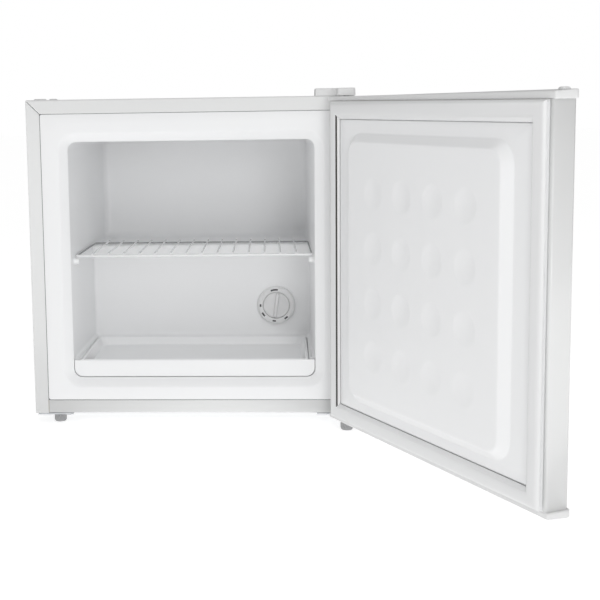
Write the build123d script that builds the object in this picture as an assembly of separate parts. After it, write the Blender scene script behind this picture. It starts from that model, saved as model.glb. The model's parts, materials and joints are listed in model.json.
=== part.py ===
from build123d import *
import math
import os

# Compact table-top freezer with one front door hinged on the right.
# Millimetres, +Z up, front towards -Y, hinge side towards +X.
# The origin lies on the floor, below the middle of the cabinet's front plane.
# The door is drawn closed and then turned to its open rest position.

# ---- cabinet ----
CABINET_W = 472.0
CABINET_D = 390.0
BODY_BOTTOM = 16.0
BODY_TOP = 476.0
SHEET = 0.8
FLANGE_W = 20.0
RAIL_H = 19.5
RAIL_RETURN = 25.0
HALF_W = CABINET_W / 2
REAR_PANEL_Y = CABINET_D - 2.0

# ---- machine compartment, low at the back ----
MACHINE_Y = 255.0
MACHINE_Z = 192.0
DECK_BOTTOM = 18.8
DECK_T = 1.2
DECK_FRONT_Y = 266.0
DECK_BACK_Y = 386.0
DECK_LIP_TOP = 30.0
COMPRESSOR_X = 40.0
COMPRESSOR_Y = 322.0
COMPRESSOR_W = 140.0
COMPRESSOR_D = 108.0
COMPRESSOR_BOTTOM = 33.0
COMPRESSOR_H = 112.0
FOOT_PLATE_Z = 30.4
GROMMET_R = 9.0
GLAND_X = 195.0
GLAND_Z = 44.0
DRIER_X = -160.0
DRIER_Y = 340.0

# ---- inner liner ----
LINER_T = 1.5
LINER_FACE_Y = 0.2
LINER_GAP = 0.7
MOUTH_HALF = 190.0
MOUTH_DEPTH = 10.0
MOUTH_MARGIN = 12.0
OPEN_HALF = 178.0
OPEN_BOTTOM = 68.0
OPEN_TOP = 415.0
CORNER_R = 12.0
LOWER_BACK_Y = 196.0
LOWER_BACK_HALF = 174.5
UPPER_BACK_Y = 305.0
UPPER_BACK_HALF = 171.0
CEILING_DROP = 2.0
BACK_R = 10.0
LEDGE_R = 7.0
NEAR = 0.6
LEDGE_Z = 242.6
SHOULDER_Z = 94.0
TRAY_WELL_HALF = 169.0
TRAY_WELL_BACK = 186.0

# ---- evaporator, folded and wound round the liner ----
EVAP_Y0 = 40.0
EVAP_Y1 = 285.0
EVAP_GAP = 2.4
EVAP_T = 1.2
EVAP_FOLD_R = 10.0
COIL_R = 3.5
COIL_Y = 55.0
COIL_PASSES = 6
COIL_PITCH = 43.0
COIL_OFFSET = LINER_T + EVAP_GAP + EVAP_T
COIL_LOW_Z = LEDGE_Z - 22.0

# ---- door ----
HINGE_X = 221.8
HINGE_Y = -28.8
DOOR_REST_DEG = 117.4
DOOR_FRONT_Y = -40.5
DOOR_BACK_Y = -9.0
DOOR_BOTTOM = 16.7
DOOR_TOP = 474.6
CAP_H = 6.0
CAP_LIP = 2.8
CAP_WALL = 2.0
CAP_EDGE_R = 1.0
CAP_POCKET = 3.0
TOP_CROWN = (2.7, 4.6)
BOTTOM_CROWN = (-1.5, -3.4)
DOOR_SKIN_R = 5.0
FOLD_R = 3.0
FOLD_W = 6.0
DOOR_LINER_T = 1.8
PAD_Y = -6.2
PAD_LIMITS = (-206.4, 200.0, 45.3, 443.6)
PLATEAU_Y = 3.0
PLATEAU_BASE = (-177.0, 177.0, 59.0, 425.5)
PLATEAU_CROWN = (-163.5, 163.5, 70.0, 414.5)
DIMPLE_R = 21.0
DIMPLE_DEPTH = 0.9
DIMPLE_PITCH_X = 67.0
DIMPLE_PITCH_Z = 72.0
DIMPLE_MIDDLE_Z = 240.0
PLATEAU_BASE_R = 26.0
PLATEAU_CROWN_R = 18.0
GASKET_TOP_Y = -0.3
GASKET_LIP_Y = -5.4
GASKET_FOOT_Y = -7.6

# ---- hinge hardware ----
PIN_R = 4.0
RUN_FIT = 0.06
BUSH_R = 7.0
BRACKET_T = 2.5
PLATE_INNER_X = 180.0
PLATE_OUTER_X = 232.0
PLATE_Y0 = 1.0
PLATE_Y1 = 62.0
COVER_X0 = 179.5
COVER_X1 = 233.8
COVER_TONGUE_X = 209.0
COVER_TONGUE_Y = -42.0
COVER_Y0 = 0.6
COVER_TOP = 486.5
COVER_WALL = 1.4
SCREW_HEAD_R = 4.5
SCREW_R = 2.2
SCREW_HEAD_H = 2.4
SCREW_L = 12.0
UPPER_BUSH_Z = 458.0
LOWER_BUSH_Z = 33.0

# ---- feet ----
FOOT_R = 8.6
FOOT_H = 11.0
FOOT_SOLE_R = 8.0
FOOT_SOLE_H = 1.2
FOOT_RIBS = 16
FOOT_RIB_R = 0.75
LEFT_STUD = (-202.0, 18.0)
REAR_FOOT_X = 200.0
REAR_FOOT_Y = 352.0

# ---- wire shelf ----
SHELF_Z = 244.9
SHELF_FRONT_Y = 39.0
SHELF_REAR_Y = 201.0
SHELF_FRONT_HALF = 174.5
SHELF_REAR_HALF = 171.4
SHELF_BAR_R = 2.0
SHELF_WIRE_R = 1.3
SHELF_WIRES = 14
PEG_R = 4.5
PEG_Y = 32.0

# ---- storage tray ----
TRAY_PANEL_HALF = 177.2
TRAY_PANEL_T = 3.0
TRAY_TOP_Z = 93.6
TRAY_WALL_T = 1.8
TRAY_FLOOR_Z = 69.2

# ---- thermostat ----
DIAL_X = 120.4
DIAL_Z = 143.1
DIAL_R = 30.5
DIAL_WELL_R = 21.5
KNOB_TILT = 8.0
SHAFT_R = 3.0
KNOB_FRONT_Y = 190.6
KNOB_BACK_Y = 193.9
CASE_HALF_W = 22.0
CASE_HALF_H = 17.0
CASE_Y0 = 201.0
CASE_Y1 = 234.0

# ---- compressor ports, at the ends of their stubs ----
SUCTION_PORT = (-38.0, 318.0, 112.0)
DISCHARGE_PORT = (-32.0, 345.0, 100.0)
SERVICE_PORT = (-44.0, 294.0, 90.0)
PORT_REACH = 24.0

# ---- condenser ----
COND_TUBE_R = 2.4
COND_Y = 398.0
COND_HALF = 190.0
COND_RUNS = 10
COND_PITCH = 25.0
COND_Z0 = 214.0
COND_WIRE_R = 0.8
COND_WIRES = 26


def span_box(x0, x1, y0, y1, z0, z1):
    """Box given by its limits along X, Y and Z."""
    centre = Pos((x0 + x1) / 2, (y0 + y1) / 2, (z0 + z1) / 2)
    return centre * Box(x1 - x0, y1 - y0, z1 - z0)


def post(x, y, z0, z1, radius):
    """Upright cylinder."""
    return Pos(x, y, (z0 + z1) / 2) * Cylinder(radius, z1 - z0)


def rod(start, end, radius):
    """Straight round rod between two points."""
    edge = Line(start, end)
    plane = Plane(origin=start, z_dir=Vector(*end) - Vector(*start))
    return sweep(plane * Circle(radius), path=edge)


def bent_tube(points, bend, radius):
    """Round tube along straight runs joined by arcs of one bend radius."""
    corners = [Vector(*p) for p in points]
    edges = []
    start = corners[0]
    for before, corner, after in zip(corners, corners[1:], corners[2:]):
        into = (corner - before).normalized()
        out = (after - corner).normalized()
        turn = math.acos(max(-1.0, min(1.0, into.dot(out))))
        setback = bend * math.tan(turn / 2)
        first = corner - into * setback
        last = corner + out * setback
        rise = (bend / math.cos(turn / 2) - bend)
        middle = corner + (out - into).normalized() * rise
        edges.append(Line(start, first))
        edges.append(ThreePointArc(first, middle, last))
        start = last
    edges.append(Line(start, corners[-1]))
    direction = corners[1] - corners[0]
    plane = Plane(origin=corners[0], z_dir=direction)
    return sweep(plane * Circle(radius), path=Wire(edges))


def front_section(half_w, z0, z1, y, radius):
    """Rounded rectangle in the plane of the cabinet's front, at depth y."""
    plane = Plane(origin=(0, y, (z0 + z1) / 2), x_dir=(1, 0, 0), z_dir=(0, -1, 0))
    return plane * RectangleRounded(2 * half_w, z1 - z0, radius)


def offset_section(x0, x1, z0, z1, y, radius):
    """Rounded rectangle facing the front that need not be centred."""
    plane = Plane(origin=((x0 + x1) / 2, y, (z0 + z1) / 2), x_dir=(1, 0, 0), z_dir=(0, -1, 0))
    return plane * RectangleRounded(x1 - x0, z1 - z0, radius)


def edges_at_depth(shape, y):
    """Edges that lie in the upright plane at depth y."""
    return shape.edges().filter_by_position(Axis.Y, y - NEAR, y + NEAR)


def is_level_with(edge, z):
    """Whether an edge is level and lies at height z."""
    box = edge.bounding_box()
    return abs(box.min.Z - z) < NEAR and abs(box.max.Z - z) < NEAR


def liner_space(grow):
    """The stepped room inside the liner, grown outwards by the wall thickness."""
    slope = (MOUTH_HALF - OPEN_HALF) / MOUTH_DEPTH
    lead = 1.0
    corner = CORNER_R + grow
    flare = MOUTH_HALF + slope * lead + grow
    margin = MOUTH_MARGIN + slope * lead + grow
    mouth = loft([
        front_section(flare, OPEN_BOTTOM - margin, OPEN_TOP + margin, -lead, CORNER_R + margin),
        front_section(OPEN_HALF + grow, OPEN_BOTTOM - grow, OPEN_TOP + grow, MOUTH_DEPTH, corner),
    ])
    ceiling = OPEN_TOP - CEILING_DROP + grow
    below_shoulder = span_box(-HALF_W, HALF_W, 0, CABINET_D, 0, SHOULDER_Z - grow)
    low = SHOULDER_Z - 40.0
    chamber = loft([
        front_section(OPEN_HALF + grow, low, OPEN_TOP + grow, MOUTH_DEPTH, corner),
        front_section(LOWER_BACK_HALF + grow, low, ceiling, LOWER_BACK_Y + grow, corner),
    ])
    chamber -= below_shoulder
    low = LEDGE_Z - 40.0
    upper = loft([
        front_section(LOWER_BACK_HALF + grow, low, ceiling, LOWER_BACK_Y - 6.0, corner),
        front_section(UPPER_BACK_HALF + grow, low, ceiling - CEILING_DROP, UPPER_BACK_Y + grow, corner),
    ])
    upper -= span_box(-HALF_W, HALF_W, 0, CABINET_D, 0, LEDGE_Z - grow)
    sill = front_section(OPEN_HALF + grow, OPEN_BOTTOM - grow, OPEN_BOTTOM + 60.0, MOUTH_DEPTH, corner)
    panel_seat = extrude(sill, amount=-(12.0 + grow))
    well = front_section(TRAY_WELL_HALF + grow, OPEN_BOTTOM - grow, SHOULDER_Z + 30.0, MOUTH_DEPTH, CORNER_R)
    tray_well = extrude(well, amount=-(TRAY_WELL_BACK - MOUTH_DEPTH + grow))
    room = mouth + chamber + upper + ((panel_seat + tray_well) & below_shoulder)
    room = fillet(edges_at_depth(room, UPPER_BACK_Y + grow), BACK_R + grow)
    lower_back_edges = edges_at_depth(room, LOWER_BACK_Y + grow)
    ledge_edge = [edge for edge in lower_back_edges if is_level_with(edge, LEDGE_Z - grow)]
    return fillet(ledge_edge, LEDGE_R - grow)


def cabinet_wrap():
    """One folded sheet: both sides, the top and the three front flanges."""
    outer = span_box(-HALF_W, HALF_W, 0, CABINET_D, BODY_BOTTOM, BODY_TOP)
    inner = span_box(-HALF_W + SHEET, HALF_W - SHEET, SHEET, CABINET_D, BODY_BOTTOM, BODY_TOP - SHEET)
    window = span_box(-HALF_W + FLANGE_W, HALF_W - FLANGE_W, -1, SHEET, BODY_BOTTOM, BODY_TOP - FLANGE_W)
    return outer - inner - window


def front_rail():
    """Bottom front rail between the side flanges, folded back under the body."""
    half = HALF_W - FLANGE_W - 0.4
    face = span_box(-half, half, 0, SHEET, BODY_BOTTOM, BODY_BOTTOM + RAIL_H)
    under = span_box(-half, half, SHEET, RAIL_RETURN, BODY_BOTTOM, BODY_BOTTOM + SHEET)
    return face + under


def base_pan():
    """Floor of the body, stepped up over the machine compartment."""
    half = HALF_W - SHEET - 0.2
    floor = span_box(-half, half, RAIL_RETURN + 0.3, MACHINE_Y, BODY_BOTTOM, BODY_BOTTOM + SHEET)
    riser = span_box(-half, half, MACHINE_Y - SHEET, MACHINE_Y, BODY_BOTTOM, MACHINE_Z)
    roof = span_box(-half, half, MACHINE_Y - SHEET, REAR_PANEL_Y - 0.2, MACHINE_Z - SHEET, MACHINE_Z)
    return floor + riser + roof


def rear_panel():
    """Flat sheet that closes the insulated back."""
    half = HALF_W - SHEET - 0.2
    top = BODY_TOP - SHEET - 0.2
    return span_box(-half, half, REAR_PANEL_Y, REAR_PANEL_Y + SHEET, MACHINE_Z - 12.0, top)


def inner_liner():
    """Vacuum-formed liner with flange, flared mouth, rear ledge and tray well."""
    half = HALF_W - FLANGE_W - LINER_GAP
    flange = span_box(-half, half, LINER_FACE_Y, LINER_FACE_Y + LINER_T,
                      BODY_BOTTOM + RAIL_H + LINER_GAP, BODY_TOP - FLANGE_W - LINER_GAP)
    behind_face = span_box(-HALF_W, HALF_W, LINER_FACE_Y, CABINET_D, 0, BODY_TOP)
    shell = flange + (liner_space(LINER_T) & behind_face)
    return shell - liner_space(0.0)


def evaporator_plate():
    """Aluminium sheet folded over the top and sides of the liner."""
    bottom = LEDGE_Z - 30.0
    half = OPEN_HALF + LINER_T + EVAP_GAP
    top = OPEN_TOP + LINER_T + EVAP_GAP
    outer = span_box(-half - EVAP_T, half + EVAP_T, EVAP_Y0, EVAP_Y1, bottom, top + EVAP_T)
    outer = fillet(outer.edges().filter_by(Axis.Y).group_by(Axis.Z)[-1], EVAP_FOLD_R)
    inner = span_box(-half, half, EVAP_Y0, EVAP_Y1, bottom, top)
    return outer - fillet(inner.edges().filter_by(Axis.Y).group_by(Axis.Z)[-1], EVAP_FOLD_R - EVAP_T)


def evaporator_tube():
    """Refrigerant tube looped to and fro over the evaporator plate."""
    reach = COIL_OFFSET + COIL_R + 0.1
    side = OPEN_HALF + reach
    top = OPEN_TOP + reach
    points = [(-side, COIL_Y, COIL_LOW_Z)]
    for index in range(COIL_PASSES):
        y = COIL_Y + index * COIL_PITCH
        direction = 1 if index % 2 else -1
        points.append((side * direction, y, top))
        points.append((-side * direction, y, top))
        points.append((-side * direction, y, COIL_LOW_Z))
        if index < COIL_PASSES - 1:
            points.append((-side * direction, y + COIL_PITCH, COIL_LOW_Z))
    return bent_tube(points, 10.0, COIL_R)


def suction_tube():
    """Return line from the evaporator's end down to the compressor."""
    radius = 3.2
    x = -(OPEN_HALF + COIL_OFFSET + radius + 0.4)
    end_x, end_y, end_z = SUCTION_PORT
    points = [(x, 270.0, COIL_LOW_Z - 0.3), (x, 270.0, 160.0), (-120.0, 300.0, 140.0), (-62.0, end_y, end_z),
              (end_x, end_y, end_z)]
    return bent_tube(points, 12.0, radius)


def capillary_tube():
    """Fine tube from the filter drier up into the insulation."""
    points = [(DRIER_X, DRIER_Y, 146.0), (DRIER_X, DRIER_Y, 165.0), (DRIER_X - 12.0, DRIER_Y, 178.0),
              (DRIER_X - 12.0, DRIER_Y, 232.0)]
    return bent_tube(points, 5.0, 1.0)


def filter_drier():
    """Copper filter drier with necked ends."""
    radius = 9.0
    body = post(DRIER_X, DRIER_Y, 70.0, 130.0, radius)
    lower = Pos(DRIER_X, DRIER_Y, 64.0) * Cone(2.5, radius, 12.0)
    upper = Pos(DRIER_X, DRIER_Y, 138.0) * Cone(radius, 2.0, 16.0)
    return body + lower + upper


def discharge_tube():
    """Hot gas line from the compressor to the condenser's upper end."""
    top = COND_Z0 + (COND_RUNS - 1) * COND_PITCH
    start_x, start_y, z = DISCHARGE_PORT
    points = [(start_x, start_y, z), (-70.0, start_y, z), (-70.0, 376.0, z), (-213.0, 376.0, z),
              (-213.0, COND_Y, z), (-213.0, COND_Y, top), (-COND_HALF - 0.3, COND_Y, top)]
    return bent_tube(points, 9.0, COND_TUBE_R)


def condenser_return():
    """Liquid line from the condenser's lower end to the filter drier."""
    points = [(-COND_HALF - 0.3, COND_Y, COND_Z0), (-201.0, COND_Y, COND_Z0), (-201.0, COND_Y, 44.0),
              (-201.0, DRIER_Y, 44.0), (DRIER_X, DRIER_Y, 44.0), (DRIER_X, DRIER_Y, 57.8)]
    return bent_tube(points, 7.0, COND_TUBE_R)


def condenser():
    """Serpentine tube with upright wires on both faces."""
    points = []
    for index in range(COND_RUNS):
        z = COND_Z0 + index * COND_PITCH
        side = 1 if index % 2 else -1
        points.append((side * COND_HALF, COND_Y, z))
        points.append((-side * COND_HALF, COND_Y, z))
    last_z = COND_Z0 + (COND_RUNS - 1) * COND_PITCH
    tube = bent_tube(points, 10.0, COND_TUBE_R)
    offset = COND_TUBE_R + COND_WIRE_R + 0.05
    pieces = [tube]
    spread = 2 * (COND_HALF - 22.0)
    for index in range(COND_WIRES):
        x = -spread / 2 + spread * index / (COND_WIRES - 1)
        for y in (COND_Y - offset, COND_Y + offset):
            pieces.append(post(x, y, COND_Z0 - 10.0, last_z + 10.0, COND_WIRE_R))
    return Compound(pieces)


def condenser_brackets():
    """Four clips that hold the condenser off the rear panel."""
    clips = []
    for x in (-150.0, 150.0):
        for index in (1, COND_RUNS - 2):
            z = COND_Z0 + index * COND_PITCH
            clip = span_box(x - 3.0, x + 3.0, REAR_PANEL_Y + SHEET, COND_Y + 1.0, z - 5.0, z + 5.0)
            clips.append(clip)
    return Compound(clips)


def compressor():
    """Hermetic compressor: rounded shell, foot plate and stub ports."""
    outline = Pos(COMPRESSOR_X, COMPRESSOR_Y, COMPRESSOR_BOTTOM) * SlotOverall(COMPRESSOR_W, COMPRESSOR_D)
    shell = extrude(outline, amount=COMPRESSOR_H)
    shell = fillet(shell.edges().filter_by(GeomType.LINE, reverse=True).group_by(Axis.Z)[-1], 34.0)
    shell = fillet(shell.edges().group_by(Axis.Z)[0], 14.0)
    plate = span_box(COMPRESSOR_X - 92.0, COMPRESSOR_X + 92.0, COMPRESSOR_Y - 39.0, COMPRESSOR_Y + 39.0,
                     FOOT_PLATE_Z, COMPRESSOR_BOTTOM + 0.2)
    body = shell + plate
    for (x, y, z), radius in ((SUCTION_PORT, 4.2), (DISCHARGE_PORT, 3.4), (SERVICE_PORT, 3.2)):
        body += rod((x + PORT_REACH, y, z), (x, y, z), radius)
    return body


def grommet_places():
    return [(COMPRESSOR_X + x, COMPRESSOR_Y + y) for x in (-82.0, 82.0) for y in (-31.0, 31.0)]


def compressor_plate():
    """Cross plate under the compressor, with a rear lip for the cord gland."""
    half = HALF_W - SHEET - 0.3
    deck = span_box(-half, half, DECK_FRONT_Y, DECK_BACK_Y, DECK_BOTTOM, DECK_BOTTOM + DECK_T)
    front_lip = span_box(-half, half, DECK_FRONT_Y, DECK_FRONT_Y + DECK_T, DECK_BOTTOM, DECK_LIP_TOP)
    rear_lip = span_box(-half, half, DECK_BACK_Y - DECK_T, DECK_BACK_Y, DECK_BOTTOM, DECK_LIP_TOP)
    tab = span_box(GLAND_X - 27.0, GLAND_X + 27.0, DECK_BACK_Y - DECK_T, DECK_BACK_Y,
                   DECK_BOTTOM, GLAND_Z + 18.0)
    return deck + front_lip + rear_lip + tab


def compressor_grommets():
    """Four rubber grommets below the compressor's foot plate."""
    return Compound([post(x, y, DECK_BOTTOM + DECK_T, FOOT_PLATE_Z, GROMMET_R) for x, y in grommet_places()])


def relay_box():
    """Start relay and overload cover on the compressor's end."""
    box = span_box(111.0, 142.0, 296.0, 348.0, 52.0, 112.0)
    return fillet(box.edges().filter_by(Axis.X), 5.0)


def cord_gland():
    """Flanged bush in the rear lip where the supply cord enters, and its bore."""
    plane = Plane(origin=(GLAND_X, DECK_BACK_Y - 5.0, GLAND_Z), z_dir=(0, 1, 0))
    barrel = extrude(plane * Circle(8.0), amount=12.0)
    collar = extrude(plane.offset(5.2) * Circle(11.0), amount=3.0)
    bore = extrude(plane.offset(-1.0) * Circle(4.2), amount=14.0)
    return (barrel + collar, bore)


def thermostat_case():
    return span_box(DIAL_X - CASE_HALF_W, DIAL_X + CASE_HALF_W, CASE_Y0, CASE_Y1,
                    DIAL_Z - CASE_HALF_H, DIAL_Z + CASE_HALF_H)


def thermostat_body():
    """Control thermostat set into the insulation behind the dial."""
    bore = rod((DIAL_X, CASE_Y0 - 1.0, DIAL_Z), (DIAL_X, 219.5, DIAL_Z), SHAFT_R + RUN_FIT)
    return thermostat_case() - bore


def dial_bezel():
    """Round dish around the knob, fixed to the liner's lower back wall."""
    dish = rod((DIAL_X, 188.0, DIAL_Z), (DIAL_X, LOWER_BACK_Y, DIAL_Z), DIAL_R)
    well = rod((DIAL_X, 187.0, DIAL_Z), (DIAL_X, LOWER_BACK_Y - 1.8, DIAL_Z), DIAL_WELL_R)
    bore = rod((DIAL_X, 180.0, DIAL_Z), (DIAL_X, 200.0, DIAL_Z), SHAFT_R + 0.6)
    return dish - well - bore


def thermostat_knob():
    """Round knob with a grip bar across it."""
    disc = rod((DIAL_X, KNOB_FRONT_Y, DIAL_Z), (DIAL_X, KNOB_BACK_Y, DIAL_Z), DIAL_WELL_R - 0.4)
    bar = Box(4.6, 8.0, 2 * DIAL_WELL_R - 2.4)
    grip = Pos(DIAL_X, KNOB_FRONT_Y - 3.6, DIAL_Z) * Rot(0, KNOB_TILT, 0) * bar
    return disc + grip


def thermostat_shaft():
    """Spindle from the knob into the thermostat."""
    return rod((DIAL_X, KNOB_BACK_Y, DIAL_Z), (DIAL_X, 219.0, DIAL_Z), SHAFT_R)


def shelf_pegs():
    """Two domed pegs in the side walls that carry the shelf's front."""
    pegs = []
    for side in (-1, 1):
        z = SHELF_Z - SHELF_BAR_R - 0.2 - PEG_R
        head = rod((side * 169.0, PEG_Y, z), (side * 177.3, PEG_Y, z), PEG_R)
        shank = rod((side * 177.3, PEG_Y, z), (side * 186.0, PEG_Y, z), 2.2)
        pegs.append(head + shank)
    return Compound(pegs)


def wire_shelf():
    """Welded wire shelf: four frame bars and wires from front to rear."""
    corners = [(SHELF_FRONT_HALF, SHELF_FRONT_Y, SHELF_Z), (SHELF_REAR_HALF, SHELF_REAR_Y, SHELF_Z)]
    front, rear = [rod((-x, y, z), (x, y, z), SHELF_BAR_R) for x, y, z in corners]
    frame = front + rear
    for side in (-1, 1):
        start = (side * SHELF_FRONT_HALF, SHELF_FRONT_Y, SHELF_Z)
        end = (side * SHELF_REAR_HALF, SHELF_REAR_Y, SHELF_Z)
        frame += rod(start, end, SHELF_BAR_R)
        frame += Pos(*start) * Sphere(SHELF_BAR_R)
        frame += Pos(*end) * Sphere(SHELF_BAR_R)
    wire_z = SHELF_Z + SHELF_BAR_R + SHELF_WIRE_R - 0.5
    for index in range(SHELF_WIRES):
        share = (index + 1) / (SHELF_WIRES + 1)
        x0 = -SHELF_FRONT_HALF + 2 * SHELF_FRONT_HALF * share
        x1 = -SHELF_REAR_HALF + 2 * SHELF_REAR_HALF * share
        frame += rod((x0, SHELF_FRONT_Y - 1.5, wire_z), (x1, SHELF_REAR_Y + 5.0, wire_z), SHELF_WIRE_R)
    return frame


def storage_tray():
    """Shallow drawer: front panel, floor and walls that sit in the liner's well."""
    inside = MOUTH_DEPTH + TRAY_PANEL_T
    length = TRAY_WELL_BACK - 1.4 - inside
    half = TRAY_WELL_HALF - 1.4
    radius = CORNER_R - 1.4
    below_top = span_box(-HALF_W, HALF_W, 0, CABINET_D, 0, TRAY_TOP_Z)
    plate = front_section(TRAY_PANEL_HALF, OPEN_BOTTOM + 0.8, TRAY_TOP_Z + 30.0, MOUTH_DEPTH, CORNER_R - 0.8)
    panel = extrude(plate, amount=-TRAY_PANEL_T)
    tub = extrude(front_section(half, TRAY_FLOOR_Z, TRAY_TOP_Z + 30.0, inside, radius), amount=-length)
    room = front_section(half - TRAY_WALL_T, TRAY_FLOOR_Z + TRAY_WALL_T, TRAY_TOP_Z + 40.0, inside,
                         radius - TRAY_WALL_T)
    hollow = extrude(room, amount=-(length - TRAY_WALL_T))
    return ((panel + tub) & below_top) - hollow


def upper_hinge_bracket():
    """Steel plate on the top, with a tongue that reaches over the door."""
    half = 9.2
    top = BODY_TOP + BRACKET_T
    plate = span_box(COVER_X0 + 6.5, COVER_X1 - 2.8, 4.0, 55.0, BODY_TOP, top)
    tongue = span_box(HINGE_X - half, HINGE_X + half, HINGE_Y, 4.0, BODY_TOP, top)
    nose = post(HINGE_X, HINGE_Y, BODY_TOP, top, half)
    return plate + tongue + nose


def upper_hinge_pin():
    """Headed pin that hangs down into the door's upper bush."""
    shank = post(HINGE_X, HINGE_Y, 460.0, BODY_TOP + BRACKET_T, PIN_R)
    head = post(HINGE_X, HINGE_Y, BODY_TOP + BRACKET_T, BODY_TOP + BRACKET_T + 2.2, 6.5)
    return shank + head


def hinge_cover():
    """Thin moulded cover over the upper hinge, open below."""
    body = span_box(COVER_X0, COVER_X1, COVER_Y0, PLATE_Y1, BODY_TOP, COVER_TOP)
    tongue = span_box(COVER_TONGUE_X, COVER_X1, COVER_TONGUE_Y, COVER_Y0, BODY_TOP + 0.5, COVER_TOP)
    outer = fillet((body + tongue).edges().filter_by(Axis.Z), 1.5)
    wall = COVER_WALL
    low, high = BODY_TOP - 1.0, COVER_TOP - wall
    inner = span_box(COVER_X0 + wall, COVER_X1 - wall, COVER_Y0 + wall, PLATE_Y1 - wall, low, high)
    inner += span_box(COVER_TONGUE_X + wall, COVER_X1 - wall, COVER_TONGUE_Y + wall, COVER_Y0 + wall,
                      low, high)
    return outer - inner


def lower_hinge_bracket():
    """Steel plate under the body that carries the lower pin."""
    z0 = BODY_BOTTOM - BRACKET_T
    half = 10.0
    plate = span_box(PLATE_INNER_X, PLATE_OUTER_X, PLATE_Y0, PLATE_Y1, z0, BODY_BOTTOM)
    tongue = span_box(HINGE_X - half, HINGE_X + half, HINGE_Y, PLATE_Y0, z0, BODY_BOTTOM)
    nose = post(HINGE_X, HINGE_Y, z0, BODY_BOTTOM, half)
    return plate + tongue + nose


def lower_hinge_pin():
    """Stud through the lower bracket: door pin above, foot thread below."""
    return post(HINGE_X, HINGE_Y, 5.0, 31.0, PIN_R)


def left_foot_plate():
    """Steel plate below the left front corner that takes the left foot."""
    return span_box(-PLATE_OUTER_X, -PLATE_INNER_X, PLATE_Y0, PLATE_Y1, BODY_BOTTOM - BRACKET_T, BODY_BOTTOM)


def foot_knurl(x, y):
    """Levelling foot with a ribbed rim."""
    foot = post(x, y, FOOT_SOLE_H, FOOT_H, FOOT_R) + post(x, y, 0.0, FOOT_SOLE_H, FOOT_SOLE_R)
    reach = FOOT_R - 0.1
    for index in range(FOOT_RIBS):
        angle = 2 * math.pi * index / FOOT_RIBS
        rib_x, rib_y = x + reach * math.cos(angle), y + reach * math.sin(angle)
        foot += post(rib_x, rib_y, FOOT_SOLE_H + 1.2, FOOT_H - 0.8, FOOT_RIB_R)
    return foot


def front_foot_right():
    """Right levelling foot, screwed on the lower hinge stud."""
    bore = post(HINGE_X, HINGE_Y, 4.0, FOOT_H + 1.0, PIN_R + RUN_FIT)
    return foot_knurl(HINGE_X, HINGE_Y) - bore


def front_foot_left():
    """Left levelling foot with its own stud."""
    return foot_knurl(*LEFT_STUD) + post(*LEFT_STUD, FOOT_H - 1.0, 30.0, PIN_R)


def rear_feet():
    """Two fixed feet below the compressor plate."""
    feet = []
    for x in (-REAR_FOOT_X, REAR_FOOT_X):
        feet.append(Pos(x, REAR_FOOT_Y, DECK_BOTTOM / 2) * Cone(10.0, 13.0, DECK_BOTTOM))
    return Compound(feet)


def bracket_screw_places():
    return [(194.0, 14.0), (223.0, 22.0), (203.0, 44.0)]


def foot_plate_screw_places():
    return [(-224.0, 44.0), (-188.0, 44.0), (-188.0, 12.0)]


def screw(x, y, z, headed_up):
    """Upright screw; z is the face its head rests on."""
    way = 1.0 if headed_up else -1.0
    head = rod((x, y, z), (x, y, z + way * SCREW_HEAD_H), SCREW_HEAD_R)
    shank = rod((x, y, z - way * SCREW_L), (x, y, z), SCREW_R)
    return head + shank


def hinge_screws():
    """Screws of the upper and lower hinge brackets and the left foot plate."""
    low = BODY_BOTTOM - BRACKET_T
    screws = [screw(x, y, BODY_TOP + BRACKET_T, True) for x, y in bracket_screw_places()]
    screws += [screw(x, y, low, False) for x, y in bracket_screw_places() + foot_plate_screw_places()]
    return Compound(screws)


def hinge_hole_plugs():
    """Plugs in the spare hinge holes at the left of the top."""
    plugs = []
    for x, y in ((-213.0, 12.0), (-223.0, 30.0), (-203.0, 44.0)):
        cap = post(x, y, BODY_TOP, BODY_TOP + 1.6, 6.0)
        stem = post(x, y, BODY_TOP - 6.0, BODY_TOP, 2.5)
        plugs.append(cap + stem)
    return Compound(plugs)


def rear_screws():
    """Screws along the rear panel's edges."""
    screws = []
    for x in (-228.0, 228.0):
        for z in (210.0, 335.0, 460.0):
            y0 = REAR_PANEL_Y + SHEET
            head = rod((x, y0, z), (x, y0 + 2.2, z), 3.8)
            shank = rod((x, y0 - 10.0, z), (x, y0, z), 1.8)
            screws.append(head + shank)
    return Compound(screws)


def wall_spacers():
    """Two spacers that keep the condenser clear of the wall."""
    spacers = []
    for x in (-225.0, 225.0):
        block = span_box(x - 6.0, x + 6.0, REAR_PANEL_Y + SHEET, 408.0, 398.0, 438.0)
        spacers.append(fillet(block.edges().filter_by(Axis.X).group_by(Axis.Y)[-1], 5.0))
    return Compound(spacers)


def upright_edges(shape, back):
    """Vertical edges at the rear of a shape when back is true, else those at its front."""
    return shape.edges().filter_by(Axis.Z).group_by(Axis.Y)[-1 if back else 0]


def door_skin():
    """Painted steel door skin: rounded front corners and edges folded in at the back."""
    z0 = DOOR_BOTTOM + CAP_H
    z1 = DOOR_TOP - CAP_H
    outer = span_box(-HALF_W, HALF_W, DOOR_FRONT_Y, DOOR_BACK_Y, z0, z1)
    outer = fillet(upright_edges(outer, False), DOOR_SKIN_R)
    outer = fillet(upright_edges(outer, True), FOLD_R)
    half = HALF_W - SHEET
    inner = span_box(-half, half, DOOR_FRONT_Y + SHEET, DOOR_BACK_Y - SHEET, z0, z1)
    inner = fillet(upright_edges(inner, False), DOOR_SKIN_R - SHEET)
    inner = fillet(upright_edges(inner, True), FOLD_R - SHEET)
    mouth_half = HALF_W - FOLD_W
    return outer - inner - span_box(-mouth_half, mouth_half, DOOR_BACK_Y - FOLD_R, DOOR_BACK_Y, z0, z1)


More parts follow.
